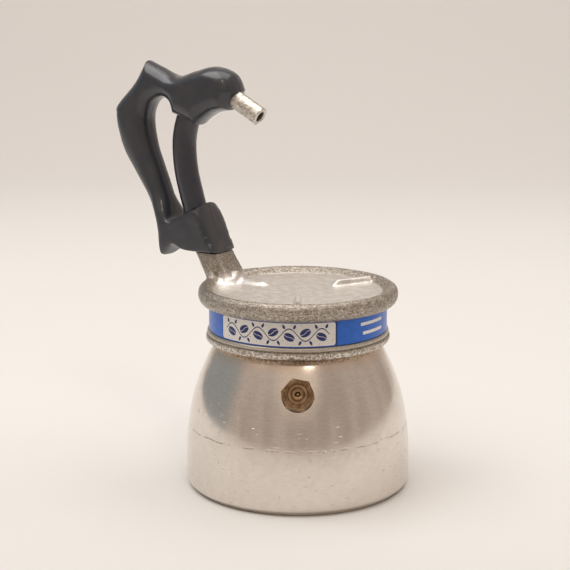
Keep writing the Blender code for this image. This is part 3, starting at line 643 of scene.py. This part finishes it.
# The leaning neck as (height, half length, half width, squareness)
NECK_SHAPE = (
    (69.4, 6.6, 7.9, 3.0),
    (71.0, 6.15, 7.4, 3.4),
    (73.0, 5.5, 6.8, 4.4),
    (75.0, 5.1, 6.45, 6.0),
    (78.0, 4.8, 6.2, 8.0),
    (80.9, 4.7, 6.1, 8.0),
)


def neck_section(z):
    """Half length, half width and squareness of the neck at a height."""
    z = min(max(z, NECK_SHAPE[0][0]), NECK_SHAPE[-1][0])
    for low, high in zip(NECK_SHAPE, NECK_SHAPE[1:]):
        if z <= high[0]:
            t = (z - low[0]) / (high[0] - low[0])
            return tuple(a + (b - a) * t for a, b in zip(low[1:], high[1:]))
    return NECK_SHAPE[-1][1:]


def rounded_ring(centre, z, half_x, half_y, power, sides):
    """A level superellipse; power 2 is an ellipse, larger is squarer."""
    ring = []
    for k in range(sides):
        angle = 2 * math.pi * (k + 0.5) / sides
        c, s = math.cos(angle), math.sin(angle)
        size = (abs(c) ** power + abs(s) ** power) ** (-1.0 / power)
        ring.append((-centre + c * size * half_x, s * size * half_y, z))
    return ring


def cast_neck(step):
    """The leaning neck and the tenon that the handle's collar holds."""
    sides = 112
    low, high = NECK_SHAPE[0][0], NECK_SHAPE[-1][0]
    count = round((high - low) / step)
    rings = []
    for k in range(count + 1):
        z = low + (high - low) * k / count
        rings.append(rounded_ring(neck_centre(z), z, *neck_section(z), sides))
    for z, half_x in ((high + 0.1, 3.1), (TENON_TOP_Z, 3.9)):
        centre = neck_centre(z) + TENON_SHIFT
        rings.append(rounded_ring(centre, z, half_x, 4.4, 3.0, sides))
    return skin(rings)


def head_grain(point):
    """How far the casting's surface stands out or in at a point, in millimetres."""
    radius = math.hypot(point.x, point.y)
    rim = fade(radius, 31.0, 33.0) * fade(point.z, 65.0, 66.5) * (1.0 - fade(point.z, 74.0, 75.0))
    bead = fade(radius, 30.5, 31.6) * fade(55.2 - point.z, 0.0, 0.6)
    neck = fade(point.z, 73.0, 75.0)
    amount = 0.025 + 0.075 * rim + 0.13 * bead + 0.04 * neck
    rough = noise.fractal(point * 1.5, 0.7, 2.1, 3)
    swell = noise.noise(point * 0.14) * 0.13 * (1.0 - 0.6 * bead)
    return rough * amount + swell * fade(point.z, 65.5, 67.0)


def build_head(cast):
    """The head's casting, with its relief and grain in the mesh, and the thread in its bore."""
    step, sides = ((0.42, 480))
    relief_z, grain_r, grain_z = 69.9, 29.5, 68.6
    points, faces = revolve([tuple(p) for p in head_profile(step)], sides)
    raised = []
    for x, y, z in points:
        raised.append((x, y, lid_surface(x, y, z) if z > relief_z else z))
    casting = merged((raised, faces), cast_neck(step))
    head = piece("head_casting", casting, "head", cast, ["group_head"], 60.0)
    normals = [Vector(n.vector) for n in head.data.vertex_normals]
    for vertex, normal in zip(head.data.vertices, normals):
        point = vertex.co / MM
        if math.hypot(point.x, point.y) > grain_r or point.z > grain_z:
            vertex.co += normal * head_grain(point) * MM
    ridge = thread_ridge(HEAD_BORE_R, HEAD_BORE_R - HEAD_THREAD, 0.5)
    piece("head_thread", ridge, "head", cast)


# ---- label


PATCH_STEP = 2.0  # degrees between the columns of a printed patch
STRIP_START = 120.8
STRIP_SPAN = 358.4
STRIP_R = BAND_R + 0.5
PANEL_SPAN = (-114.0, -36.4)


def on_band(azimuth, z, radius):
    """A point on the band from its azimuth in degrees."""
    angle = math.radians(azimuth)
    return (radius * math.cos(angle), radius * math.sin(angle), z)


def crossings(outline, azimuth):
    """Heights at which a closed outline crosses an azimuth, lowest first."""
    found = []
    for a, b in zip(outline, outline[1:] + outline[:1]):
        if (a.x > azimuth) != (b.x > azimuth):
            found.append(a.y + (b.y - a.y) * (azimuth - a.x) / (b.x - a.x))
    return sorted(found)


def band_patch(outline, inner_r, outer_r):
    """A closed outline of (azimuth, height) points as a thin curved plate on the band."""
    edge = []
    corners = [Vector(p) for p in outline]
    for a, b in zip(corners, corners[1:] + corners[:1]):
        count = max(math.ceil(abs(b.x - a.x) / PATCH_STEP), 1)
        edge.extend(a.lerp(b, k / count) for k in range(count))
    plan = list(edge)
    first = math.floor(min(p.x for p in edge) / PATCH_STEP)
    last = math.ceil(max(p.x for p in edge) / PATCH_STEP)
    for column in range(first, last + 1):
        azimuth = (column + 0.5) * PATCH_STEP
        heights = crossings(edge, azimuth)
        for low, high in zip(heights[::2], heights[1::2]):
            rows = int((high - low) / 0.8)
            for k in range(rows):
                plan.append(Vector((azimuth, low + (high - low) * (k + 1) / (rows + 1))))
    rim = [(i, (i + 1) % len(edge)) for i in range(len(edge))]
    flat, _, triangles = delaunay_2d_cdt([p.to_2d() for p in plan], rim, [], 1, 1e-5)[:3]
    count = len(flat)
    points = [on_band(p.x, p.y, outer_r) for p in flat]
    points += [on_band(p.x, p.y, inner_r) for p in flat]
    faces = [tuple(face) for face in triangles]
    faces += [tuple(i + count for i in reversed(face)) for face in triangles]
    sides = {(a, b) for face in triangles for a, b in zip(face, face[1:] + face[:1])}
    faces += [(b, a, a + count, b + count) for a, b in sides if (b, a) not in sides]
    return points, faces


def rounded_box(a0, a1, z0, z1, corner):
    """Outline of a rectangle on the band; corner is its radius in millimetres."""
    outline = []
    for ca, cz, start in ((a1, z1, 0), (a0, z1, 90), (a0, z0, 180), (a1, z0, 270)):
        ca += corner / LABEL_DEGREE * (-1 if ca == a1 else 1)
        cz += corner * (-1 if cz == z1 else 1)
        for k in range(6):
            angle = math.radians(start + 18 * k)
            outline.append((ca + math.cos(angle) * corner / LABEL_DEGREE, cz + math.sin(angle) * corner))
    return outline


def laid(loop, azimuth, z, tilt):
    """Turns a flat outline in millimetres by tilt degrees and lays it on the band."""
    turn = math.radians(tilt)
    found = []
    for x, y in loop:
        along = x * math.cos(turn) - y * math.sin(turn)
        up = x * math.sin(turn) + y * math.cos(turn)
        found.append((azimuth + along / LABEL_DEGREE, z + up))
    return found


def leaf(azimuth, z, length, width, tilt):
    """Outline of a pointed leaf on the band, lengths in millimetres."""
    side = [(t / 8, math.sin(math.pi * (t / 8) ** 0.8) * width / 2) for t in range(9)]
    loop = [(x * length, y) for x, y in side] + [(x * length, -y) for x, y in side[-2:0:-1]]
    return laid(loop, azimuth, z, tilt)


def bean(azimuth, z, length, width, tilt):
    """Outlines of a coffee bean's two halves, with a curved cleft between them."""
    cleft, bend = 0.09, 0.22
    halves = []
    for side in (1, -1):
        loop = []
        for k in range(13):
            angle = math.pi * k / 12
            loop.append((math.cos(angle) * length / 2, side * (math.sin(angle) * width / 2 + cleft)))
        for k in range(1, 8):
            x = -0.5 + k / 8
            loop.append((x * length, side * cleft + bend * math.sin(x * 2 * math.pi)))
        halves.append(laid(loop, azimuth, z, tilt))
    return halves


def build_label(blue, navy, foil, white):
    """The blue strip with its bare metal panel, dark lines, scroll and two plain rules. The navy line
    round the top edge is partly print and partly painted shadow under the rim.
    """
    base_r = BAND_R + 0.1
    low, high = BAND_LOW_Z + 0.15, BAND_HIGH_Z - 0.1
    section = ((STRIP_R, low + 0.1), (STRIP_R, high - 0.1), (STRIP_R - 0.1, high))
    section += ((base_r, high), (base_r, low), (STRIP_R - 0.1, low))
    strip = []
    for k in range(241):
        azimuth = STRIP_START + STRIP_SPAN * k / 240
        strip.append([on_band(azimuth, z, radius) for radius, z in section])
    piece("label_strip", skin(strip), "head", blue, ["label_band"])

    def decal(name, outlines, level, material):
        """Printed shapes that stand a little above the strip."""
        patches = [band_patch(o, STRIP_R - 0.05, STRIP_R + level) for o in outlines]
        piece(name, merged(*patches), "head", material)

    start, end = PANEL_SPAN
    decal("label_panel", [rounded_box(start, end, low + 0.35, high - 0.55, 0.9)], 0.03, foil)
    # partly a printed navy line, partly painted shadow under the rim: a dark line round the strip's top
    # edge
    top_line_and_shadow = [(a, high - 0.42) for a in range(-235, 115, 5)]
    top_line_and_shadow += [(a, high - 0.12) for a in range(110, -240, -5)]
    side_line = rounded_box(end + 0.1, end + 1.2, low + 0.12, high - 0.35, 0.3)
    decal("label_navy_lines_and_shadow", [top_line_and_shadow, side_line], 0.02, navy)
    edges = [(low + 0.6, low + 0.78), (high - 1.0, high - 0.82)]
    edge_lines = [rounded_box(start + 1.0, end - 1.0, z0, z1, 0.08) for z0, z1 in edges]
    decal("label_panel_edge", edge_lines, 0.05, white)
    middle = (low + high) / 2 - 0.1
    decal("label_scroll", scroll(-110.0, -40.5, middle), 0.05, navy)
    rules = []
    for z, a0, a1 in ((middle + 1.75, -17.5, 6.0), (middle - 1.45, -15.5, 6.0)):
        rules.append(rounded_box(a0, a1, z - 0.55, z + 0.55, 0.25))
    decal("label_rules", rules, 0.03, white)


def scroll(start, end, middle):
    """Outlines of a running ornament: a waving stem with leaves and coffee beans."""
    waves, swing, half, count = 3.5, 2.1, 0.2, 84
    span = end - start

    def stem(t):
        return middle + swing * math.sin(2 * math.pi * waves * t)

    top = [(start + span * k / count, stem(k / count) + half) for k in range(count + 1)]
    low = [(a, z - 2 * half) for a, z in reversed(top)]
    outlines = [top + low]
    for k in range(int(waves * 2)):
        t = (k + 0.5) / (waves * 2)
        side = 1 if k % 2 else -1
        outlines.extend(bean(start + span * t, middle + side * 0.75, 3.9, 2.5, 28 * side))
        for tilt, offset in ((62, 0.13), (118, -0.13)):
            root = start + span * (t + offset / waves)
            outlines.append(leaf(root, stem(t) + side * 0.1, 1.9, 0.9, -side * tilt))
    return outlines


# ---- spout


# The tube's centre line above the collar as (distance towards the handle, height)
SPOUT_POINTS = (
    (43.6, 96.2), (45.0, 101.2), (46.9, 108.5), (47.8, 115.5), (47.7, 122.0), (46.0, 128.5),
    (42.6, 134.6), (36.6, 138.6), (30.0, 138.4), (24.2, 135.7), (15.5, 130.7),
)


def spout_path(steps):
    """The tube's centre line, from inside the collar to its mouth."""
    start_z = TENON_TOP_Z + 2.1
    start = (neck_centre(start_z) + TENON_SHIFT, start_z)
    return smooth_line((start, *SPOUT_POINTS), steps=steps)


def build_spout(silver, black):
    """The bent metal tube with a burr at its mouth, and the black sleeve over its rise."""
    sides, dense_steps = 48, 24
    path = spout_path(10)
    dense = path[:-10]
    dense += [path[-10].lerp(path[-1], k / dense_steps) for k in range(dense_steps + 1)]
    end = len(dense) - 1

    def tube_wobble(i, angle):
        """A low moulding line under the tube, a burr at its mouth and a little grain."""
        flash = 0.16 * math.exp(-((math.cos(angle) - 0.96) ** 2) / 0.002) * (math.sin(angle) < 0)
        burr = 0.1 * fade(i, end - 1.2, end)
        place = Vector((i * 0.9, math.cos(angle) * 3, math.sin(angle) * 3))
        grain = noise.fractal(place, 0.9, 2, 3)
        return flash + burr * (0.5 + grain) + 0.05 * grain

    outer = sweep_rings(dense, TUBE_R, sides, tube_wobble)
    beyond = dense[-1] + (dense[-1] - dense[-2]).normalized() * 0.12
    lip = [sweep_rings([dense[-1], beyond], r, sides)[1] for r in (TUBE_R - 0.18, 2.1)]
    bore = sweep_rings(list(reversed(dense)), TUBE_BORE_R, sides)
    bore = [[ring[(sides // 2 - k) % sides] for k in range(sides)] for ring in bore]
    tube = skin(outer + lip + bore, True)
    piece("spout", tube, "head", silver, ["spout_tube"], 60.0)

    foot = Vector(SLEEVE_FOOT)
    face = Vector(SLEEVE_HEEL) - foot
    start = next(i for i, p in enumerate(path) if face.cross(p - foot) >= 0)
    stop = next(i for i, p in enumerate(path) if p.y > SLEEVE_TOP_Z)

    def collar_top(x):
        return foot.y + 0.12 + (-x - foot.x) * face.y / face.x

    rings = sweep_rings(path[start:stop], SLEEVE_R, sides)
    trimmed = [[(x, y, max(z, collar_top(x))) for x, y, z in ring] for ring in rings]
    trimmed[0] = [(x, y, collar_top(x)) for x, y, _ in rings[0]]
    inner = sweep_rings(path[start:stop], TUBE_R + 0.1, sides)
    sleeve = skin(trimmed + list(reversed(inner)), True)
    piece("sleeve", sleeve, "head", black, ["spout_sleeve"])


# ---- handle


# Side view of the handle as (distance towards the handle, height), once round
HANDLE_POINTS = (
    # collar's foot
    (30.6, 81.2), (41.0, 81.0), (45.2, 81.4), (48.8, 82.8), (51.6, 80.9),
    (55.2, 78.0),
    # the grip's outside, up to the crest
    (57.0, 81.0), (57.8, 88.0), (60.2, 95.4), (67.4, 106.9), (73.2, 115.8),
    (75.6, 124.0), (76.3, 129.6), (75.6, 133.2), (67.9, 141.3), (62.9, 149.2),
    # over the head to the spout's mouth
    (57.6, 147.0), (49.5, 144.0), (41.2, 146.1), (33.6, 147.7), (26.6, 145.3),
    (23.4, 139.4),
    # under the head to the sleeve
    (27.0, 132.6), (32.8, 131.5), (37.2, 129.2), (40.2, 126.8), (50.9, 130.4),
    # down the finger gap to the collar's slanted top
    (52.4, 134.5), (56.2, 136.0), (60.6, 133.4), (62.6, 127.6), (61.0, 118.6),
    (57.2, 108.4), (53.4, 98.2), (51.8, 93.2), (50.0, 92.0), (38.1, 98.6),
)
HANDLE_CORNERS = (0, 15, 21, 22, 25, 26, 35, 36)
CREST_REACH = 62.9
CREST_SLOPE = 0.35
SEAM = 0.07
SCREW_PLACES = (("collar", 53.6, 87.4), ("head", 56.0, 140.0), ("grip", 70.6, 127.0))
SCREW_R = 2.7
SEAT_RADII = (2.9, 3.15, 3.4, 3.65, 3.95)
GRID_BOX = (22.0, 77.0, 60.0, 75.0)  # left, low, width and height of the side view


def shell_form(reach, z):
    """Half thickness, width of the rounded border, and its squareness, at a place."""
    collar = 1.0 - fade(z, 93.0, 101.0)
    boxy = collar * (1.0 - fade(reach, 48.0, 58.0))
    head = (1.0 - fade(reach, 44.0, 56.0)) * (1.0 - collar)
    crest = fade(z - CREST_SLOPE * (CREST_REACH - reach), 132.0, 154.0)
    crest *= fade(reach, 44.0, 58.0)
    half = 6.5 + 1.25 * collar + 0.9 * head
    half += (5.2 - half) * crest
    low_grip = fade(reach, 50.0, 56.0) * (1.0 - collar) * (1.0 - fade(z, 116.0, 126.0))
    border = 5.4 + 1.8 * low_grip
    return half, border + (1.4 - border) * boxy, 2.2 + 1.3 * boxy


def depth_in(point, outline):
    """Distance from a point to the nearest edge of an outline, negative outside it."""
    nearest, inside = 1e9, False
    for a, b in zip(outline, outline[1:] + outline[:1]):
        edge = b - a
        t = min(max((point - a).dot(edge) / edge.length_squared, 0.0), 1.0)
        nearest = min(nearest, (point - a - edge * t).length)
        if (a.y > point.y) != (b.y > point.y):
            inside ^= point.x < a.x + edge.x * (point.y - a.y) / edge.y
    return nearest if inside else -nearest


def shell_height(point, outline):
    """Height of a shell's outside over the seam at a point of the side view."""
    half, border, square = shell_form(point.x, point.y)
    left = 1.0 - min(max(depth_in(point, outline), 0.0) / border, 1.0)
    return half * (1.0 - left**square) ** (1.0 / square)


def shell_outline(steps):
    """The side view of the handle as a closed curve, counter-clockwise."""
    outline = smooth_line(HANDLE_POINTS, HANDLE_CORNERS, steps, True)
    if sum(a.cross(b) for a, b in zip(outline, outline[1:] + outline[:1])) < 0:
        outline.reverse()
    return outline


def screw_tops():
    """Each screw's name, place, and the height of its head, level with the shell round it."""
    outline = shell_outline(4)
    found = []
    for name, reach, z in SCREW_PLACES:
        round_it = [shell_height(point, outline) for point in side_ring(reach, z, SCREW_R, 12)]
        found.append((name, reach, z, (min(round_it) + max(round_it)) / 2))
    return found


def seated(height, point, screws):
    """A shell's height with a flat round seat under each screw's head."""
    sunk, flat_r, end_r = 0.3, 2.95, 3.9
    for _, reach, z, top in screws:
        away = math.hypot(point.x - reach, point.y - z)
        height += (top - sunk - height) * (1.0 - fade(away, flat_r, end_r))
    return height


def shell_surface():
    """The side view of a handle shell: its outline, and points with heights over it."""
    steps, grid = ((8, 0.8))
    levels = (0.012, 0.045, 0.1, 0.18, 0.28, 0.4, 0.55, 0.72, 0.9)
    outline = shell_outline(steps)
    plan = list(outline)
    count = len(outline)
    for i, here in enumerate(outline):
        before = (here - outline[i - 1]).normalized()
        after = (outline[(i + 1) % count] - here).normalized()
        along = (before + after).normalized()
        mitre = Vector((-along.y, along.x)) / max(along.dot(after), 0.4)
        border = shell_form(here.x, here.y)[1]
        for level in levels:
            point = here + mitre * border * level
            if depth_in(point, outline) > border * level * 0.95:
                plan.append(point)
    for _, reach, z in SCREW_PLACES:
        for radius in SEAT_RADII:
            ring = side_ring(reach, z, radius, 32)
            plan.extend(point for point in ring if depth_in(point, outline) > 0.4)
    left, low, wide, high = GRID_BOX
    for i in range(int(wide / grid)):
        for j in range(int(high / grid)):
            point = Vector((left + grid * (i + 0.5 * (j % 2)), low + grid * j))
            flat_from = shell_form(point.x, point.y)[1] * 0.9 + grid * 0.4
            if depth_in(point, outline) > flat_from:
                plan.append(point)
    rim = [(i, (i + 1) % count) for i in range(count)]
    found = delaunay_2d_cdt([p.to_2d() for p in plan], rim, [], 1, 1e-4)
    onto = {source: k for k, sources in enumerate(found[3]) for source in sources}
    heights = [shell_height(p, outline) for p in found[0]]
    return found[0], heights, found[2], [onto[i] for i in range(count)]


def build_handle(black):
    """Two moulded halves that meet at a fine seam; the far one carries the screws' seats."""
    plan, heights, triangles, rim = shell_surface()
    faces = triangles + [tuple(reversed(rim))]
    screws = screw_tops()
    for name, side, node in (
        ("handle_far_half", 1, "handle_left_shell"),
        ("handle_near_half", -1, "handle_right_shell"),
    ):
        points = []
        for p, height in zip(plan, heights):
            if side > 0:
                height = seated(height, p, screws)
            points.append((-p.x, side * (SEAM + height * (1 - SEAM / 7.0)), p.y))
        obj = piece(name, (points, faces), "head", black, [node], 55.0)
        for vertex in obj.data.vertices:
            place = vertex.co / MM
            wave = noise.fractal(place * 0.1 + Vector((7, 3, 1)), 0.8, 2.0, 3) * 0.12
            if abs(place.y) > 1.0:
                vertex.co.y += side * wave * MM


# ---- safety valve


HEXAGON_TURN = 19.0
HEXAGON_LOW = 1.3
HEXAGON_HIGH = 7.3


def valve_place():
    """Sets a piece made upright about the axis into the boiler's wall."""
    out = math.radians(VALVE_AZIMUTH)
    place = Vector((VALVE_R * math.cos(out), VALVE_R * math.sin(out), VALVE_Z))
    turn = Matrix.Rotation(out, 4, "Z") @ Matrix.Rotation(math.radians(90 - VALVE_LIFT), 4, "Y")
    return Matrix.Translation(place) @ turn


def valve_piece(name, part, body, material, node, crease=30.0):
    """A piece made upright about the axis, set in its place on the boiler."""
    place = valve_place()
    points = [tuple(place @ Vector(p)) for p in part[0]]
    piece(name, (points, part[1]), body, material, [node], crease)


def hexagon(flats, z, rounding):
    """A hexagon ring with each corner cut by an arc of three points."""
    ring = []
    corner = flats / 2 / math.cos(math.radians(30))
    for k in range(6):
        for step in (-1.0, -0.4, 0.4, 1.0):
            angle = math.radians(HEXAGON_TURN + 60 * k + step * rounding)
            limit = flats / 2 / math.cos(math.radians(30 - abs(step) * rounding))
            radius = min(limit, corner * 0.985)
            ring.append((radius * math.cos(angle), radius * math.sin(angle), z))
    return ring


def build_valve(dark_brass, bright_brass, red_metal):
    """The safety valve: hexagon and shank, ring, seal, and the plunger that lifts."""
    low, high = HEXAGON_LOW, HEXAGON_HIGH
    prism = ((9.4, low, 5), (10.0, low + 0.35, 4), (10.0, high - 0.75, 4))
    prism += ((9.75, high - 0.3, 6), (9.2, high - 0.02, 9))
    turned = ((4.25, high), (3.72, high), (3.66, high - 0.08), (3.45, high - 0.1))
    turned += ((3.4, high - 1.0), (2.4, high - 1.0), (2.4, -5.2), (1.3, -5.2))
    turned += ((1.3, -7.2), (3.7, -7.2), (3.9, -7.0), (3.9, low))
    rings = [hexagon(*level) for level in prism]
    rings += [circle(radius, z, 24) for radius, z in turned]
    hexagonal = skin(rings, True)
    valve_piece("valve_hexagon", hexagonal, "boiler", dark_brass, "valve_body", 25.0)
    cap = [(3.38, 6.45), (3.38, 7.05), (3.2, 7.22), (2.35, 7.24), (2.2, 6.98), (2.0, 6.98)]
    cap += [(1.88, 7.24), (1.2, 7.2), (0.95, 7.0), (0.88, 6.45)]
    valve_piece("valve_ring", revolve(cap, 64), "boiler", dark_brass, "valve_cap")
    washer = [(5.4, 0.35), (5.5, 0.5), (5.5, 0.85), (5.4, 1.0), (4.2, 1.0), (4.2, 0.35)]
    valve_piece("valve_seal", revolve(washer, 72), "boiler", red_metal, "valve_washer")
    stem = [(0, -4.9), (1.7, -4.9), (2.05, -4.5), (2.05, -3.7), (0.55, -3.6), (0.55, 6.2)]
    stem += [(0.45, 6.34), (0.2, 6.4), (0, 6.4)]
    stem = revolve(stem, 32)
    valve_piece("valve_plunger", stem, "poppet", bright_brass, "valve_poppet")


def build_spring(steel):
    """The valve's coil between the ring and the plunger's flange, built at one length."""
    coil_r, wire_r = 1.45, 0.26
    coils, steps, sides = 8, 20, 10
    low, high, closed = -3.05, 5.95, 0.06
    place = valve_place()
    rings = []
    for k in range(coils * steps + 1):
        share = k / (coils * steps)
        rise = low + (high - low) * (fade(share, closed, 1.0 - closed) + share * 4) / 5
        turn = 2 * math.pi * k / steps
        ring = []
        for angle in around(sides):
            r = coil_r + wire_r * math.cos(angle)
            point = (r * math.cos(turn), r * math.sin(turn), rise + wire_r * math.sin(angle))
            ring.append(tuple(place @ Vector(point)))
        rings.append(ring)
    coil = piece("valve_coil", skin(rings), None, steel, ["valve_spring"], 60.0)
    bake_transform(coil)


# ---- small fittings


def build_screws(steel):
    """Slotted countersunk heads over the screws in the far shell."""
    for name, reach, z, top in screw_tops():
        section = ((1.3, -4.9), (1.3, top - 1.6), (2.62, top - 0.2), (SCREW_R, top), (2.4, top + 0.02))
        rings = []
        for radius, out in section:
            rings.append([(-p.x, out, p.y) for p in side_ring(reach, z, radius, 40)])
        head = merged(skin(rings), slot_lands(reach, z, top))
        node = f"handle_screw_{name}"
        piece(f"screw_{name}", head, "head", steel, [node], 30.0)


def slot_lands(reach, z, top):
    """Two half-round lands that leave a driver slot between them."""
    radius, proud, taper = 2.55, 0.28, 0.96
    parts = []
    for side in (1, -1):
        arc = [math.radians(12 + 156 * k / 14) * side for k in range(15)]
        flat = [(math.cos(a) * radius, math.sin(a) * radius) for a in arc]
        low = [(-reach + x, top, z + y) for x, y in flat]
        high = [(-reach + x * taper, top + proud, z + y * taper + side * 0.02) for x, y in flat]
        parts.append(skin([low, high]))
    return merged(*parts)


def recolour(names, material):
    """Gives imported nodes, which are shown as they are, a material and smooth shading."""
    for name in names:
        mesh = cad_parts[name].data
        mesh.materials.clear()
        mesh.materials.append(material)
        mesh.shade_smooth()
        mesh.set_sharp_from_angle(angle=math.radians(35))


# ---- stage


def sheet_material():
    """Pale paper, with painted shade that makes it slightly darker in front of the pot and far behind
    it.
    """
    n = Nodes("paper_sweep", (0.83, 0.825, 0.815), 0.6, 0.0)
    tone = n.mix(n.noise(0.004, 2.0, 0.5), (0.84, 0.838, 0.83), (0.82, 0.812, 0.8))
    heading = math.radians(CAMERA_HEADING)
    depth = n.minus(n.times(n.axis("Y"), math.cos(heading)), n.times(n.axis("X"), math.sin(heading)))
    # painted shade: the paper darkens in front of the pot, then again far behind it
    tone = n.mix(n.ramp(depth, 120.0, -220.0), tone, (0.72, 0.71, 0.695))
    tone = n.mix(n.ramp(depth, 300.0, 1250.0), tone, (0.755, 0.742, 0.732))
    n.put(tone, "Base Color")
    n.bump(n.noise(1.5, 2.0, 0.5), 0.03, 0.1)
    return n.material


def build_stage():
    """A paper sheet that lies under the pot and rises behind it, turned to the camera."""
    left, right, front, back, bend, top = 800.0, 1300.0, 270.0, 1400.0, 600.0, 1900.0
    steps = 16
    profile = [(-front, 0.0), (0.0, 0.0), (back - bend, 0.0)]
    for k in range(1, steps + 1):
        angle = math.pi / 2 * k / steps
        profile.append((back - bend + bend * math.sin(angle), bend * (1 - math.cos(angle))))
    profile.append((back, top))
    turn = Matrix.Rotation(math.radians(CAMERA_HEADING), 4, "Z")
    points = [turn @ Vector((x, y, z)) * MM for y, z in profile for x in (-left, right)]
    faces = [(2 * k, 2 * k + 1, 2 * k + 3, 2 * k + 2) for k in range(len(profile) - 1)]
    mesh = bpy.data.meshes.new("paper_sweep")
    mesh.from_pydata(points, [], faces)
    mesh.shade_smooth()
    mesh.materials.append(sheet_material())
    sweep = bpy.data.objects.new("paper_sweep", mesh)
    bpy.context.collection.objects.link(sweep)


def aimed(name, data, place, direction):
    """Puts a lamp or a camera in the scene, looking along a direction."""
    obj = bpy.data.objects.new(name, data)
    bpy.context.collection.objects.link(obj)
    obj.location = place
    obj.rotation_euler = direction.to_track_quat("-Z", "Y").to_euler()
    return obj


def area_light(name, place, aim, size, power, colour):
    """A square lamp at a place given as (camera's right, away from the camera, up)."""
    data = bpy.data.lights.new(name, "AREA")
    data.shape = "SQUARE"
    data.size = size
    data.energy = power
    data.color = colour
    turn = Matrix.Rotation(math.radians(CAMERA_HEADING), 4, "Z")
    place, aim = (turn @ Vector(point) * MM for point in (place, aim))
    aimed(name, data, place, aim - place)


def build_lights():
    """A dim warm room, cooler towards the handle's side, and three soft lamps overhead."""
    world = bpy.data.worlds.new("room")
    world.use_nodes = True
    room = Graph(world.node_tree, "Generated", 1.0)

    def lobe(direction, low, high):
        """1 where the sky lies along a direction, 0 well away from it."""
        inputs = {0: room.where, 1: Vector(direction).normalized()}
        dot = room.add("ShaderNodeVectorMath", inputs, operation="DOT_PRODUCT")
        return room.ramp(dot.outputs["Value"], low, high)

    bands = room.noise(1.0, 1.5, 0.5, room.stretched(3.2, 3.2, 0.35))
    tone = room.mix(room.ramp(bands, 0.42, 0.6, ease="LINEAR"), ROOM_TONE, ROOM_DARK)
    tone = room.mix(lobe((-0.97, -0.12, 0.2), 0.74, 0.93), tone, ROOM_COOL)
    tone = room.mix(lobe((0.38, -0.66, 0.62), 0.86, 0.985), tone, ROOM_GLOW)
    room.link(tone, world.node_tree.nodes["Background"].inputs["Color"])
    bpy.context.scene.world = world
    bpy.context.scene.view_settings.view_transform = "Standard"
    area_light("window", (-540, -60, 1270), (0, 0, 60), 0.9, 8.1, LAMP_TONE)
    area_light("ceiling", (330, 150, 1300), (150, 120, 0), 1.1, 6.6, LAMP_TONE)
    area_light("bulb", (290, -900, 1170), (0, 0, 80), 0.2, 1.2, BULB_TONE)


def build_camera():
    """A long lens, a little above the lid, that looks down at the pot."""
    data = bpy.data.cameras.new("camera")
    data.sensor_width = 36.0
    data.lens = LENS_MM
    heading, down = math.radians(CAMERA_HEADING), math.radians(CAMERA_DOWN)
    level = math.cos(down)
    aim = Vector((-math.sin(heading) * level, math.cos(heading) * level, -math.sin(down)))
    bpy.context.scene.camera = aimed("camera", data, Vector(CAMERA_PLACE) * MM, aim)


# ---- the scene


def main():
    """Materials first, then the pieces, the stage, the lamps and the camera."""
    spun = spun_aluminium()
    dark, light = (0.22, 0.185, 0.15), (0.58, 0.525, 0.465)
    cast = cast_aluminium("cast_aluminium", 1.35, 0.75, dark, light, dirt=0.5, lid_radius=DISH_R)
    dark, light = (0.43, 0.395, 0.34), (0.78, 0.735, 0.67)
    tube = cast_aluminium("spout_metal", 0.8, 0.35, dark, light, dirt=0.15)
    dark, light = (0.019, 0.023, 0.035), (0.029, 0.03, 0.037)
    black = bakelite("black_bakelite", dark, light, smooth=0.285, rough=0.36, held=0.2)
    dark, light = (0.02, 0.022, 0.038), (0.03, 0.029, 0.038)
    sleeve = bakelite("black_sleeve", dark, light, smooth=0.28, rough=0.42)
    hexagon_brass = brass("aged_brass", (0.15, 0.085, 0.042), (0.3, 0.2, 0.115), 0.4)
    bright = brass("plain_brass", (0.22, 0.15, 0.06), (0.42, 0.3, 0.13), 0.35)
    red = brass("copper", (0.12, 0.075, 0.05), (0.22, 0.14, 0.1), 0.45)
    steel = plain_metal("steel", (0.55, 0.54, 0.52), 0.35, 4.0)
    sheet = plain_metal("sheet_aluminium", (0.7, 0.68, 0.65), 0.35, 2.0)
    blue = print_colour("blue_print", (0.003, 0.112, 0.55), 0.1, 0.34, 1.12)
    navy = print_colour("navy_print", (0.006, 0.018, 0.12), 0.1, 0.35, 1.4)
    foil = print_colour("bare_foil", (0.74, 0.712, 0.685), 0.6, 0.33, 0.9)
    white = print_colour("white_print", (0.82, 0.8, 0.77), 0.0, 0.4, 0.92)

    build_boiler(spun)
    build_head(cast)
    build_label(blue, navy, foil, white)
    build_spout(tube, sleeve)
    build_handle(black)
    build_valve(hexagon_brass, bright, red)
    build_spring(steel)
    build_screws(steel)
    recolour(("funnel_basket", "funnel_tube", "funnel_screen", "filter_plate"), sheet)
    recolour(("gasket",), rubber())
    recolour(("valve_locknut",), hexagon_brass)
    recolour(("valve_inner_washer",), red)
    recolour(("screw_insert_collar", "screw_insert_head", "screw_insert_grip"), bright)
    build_stage()
    build_lights()
    build_camera()


main()
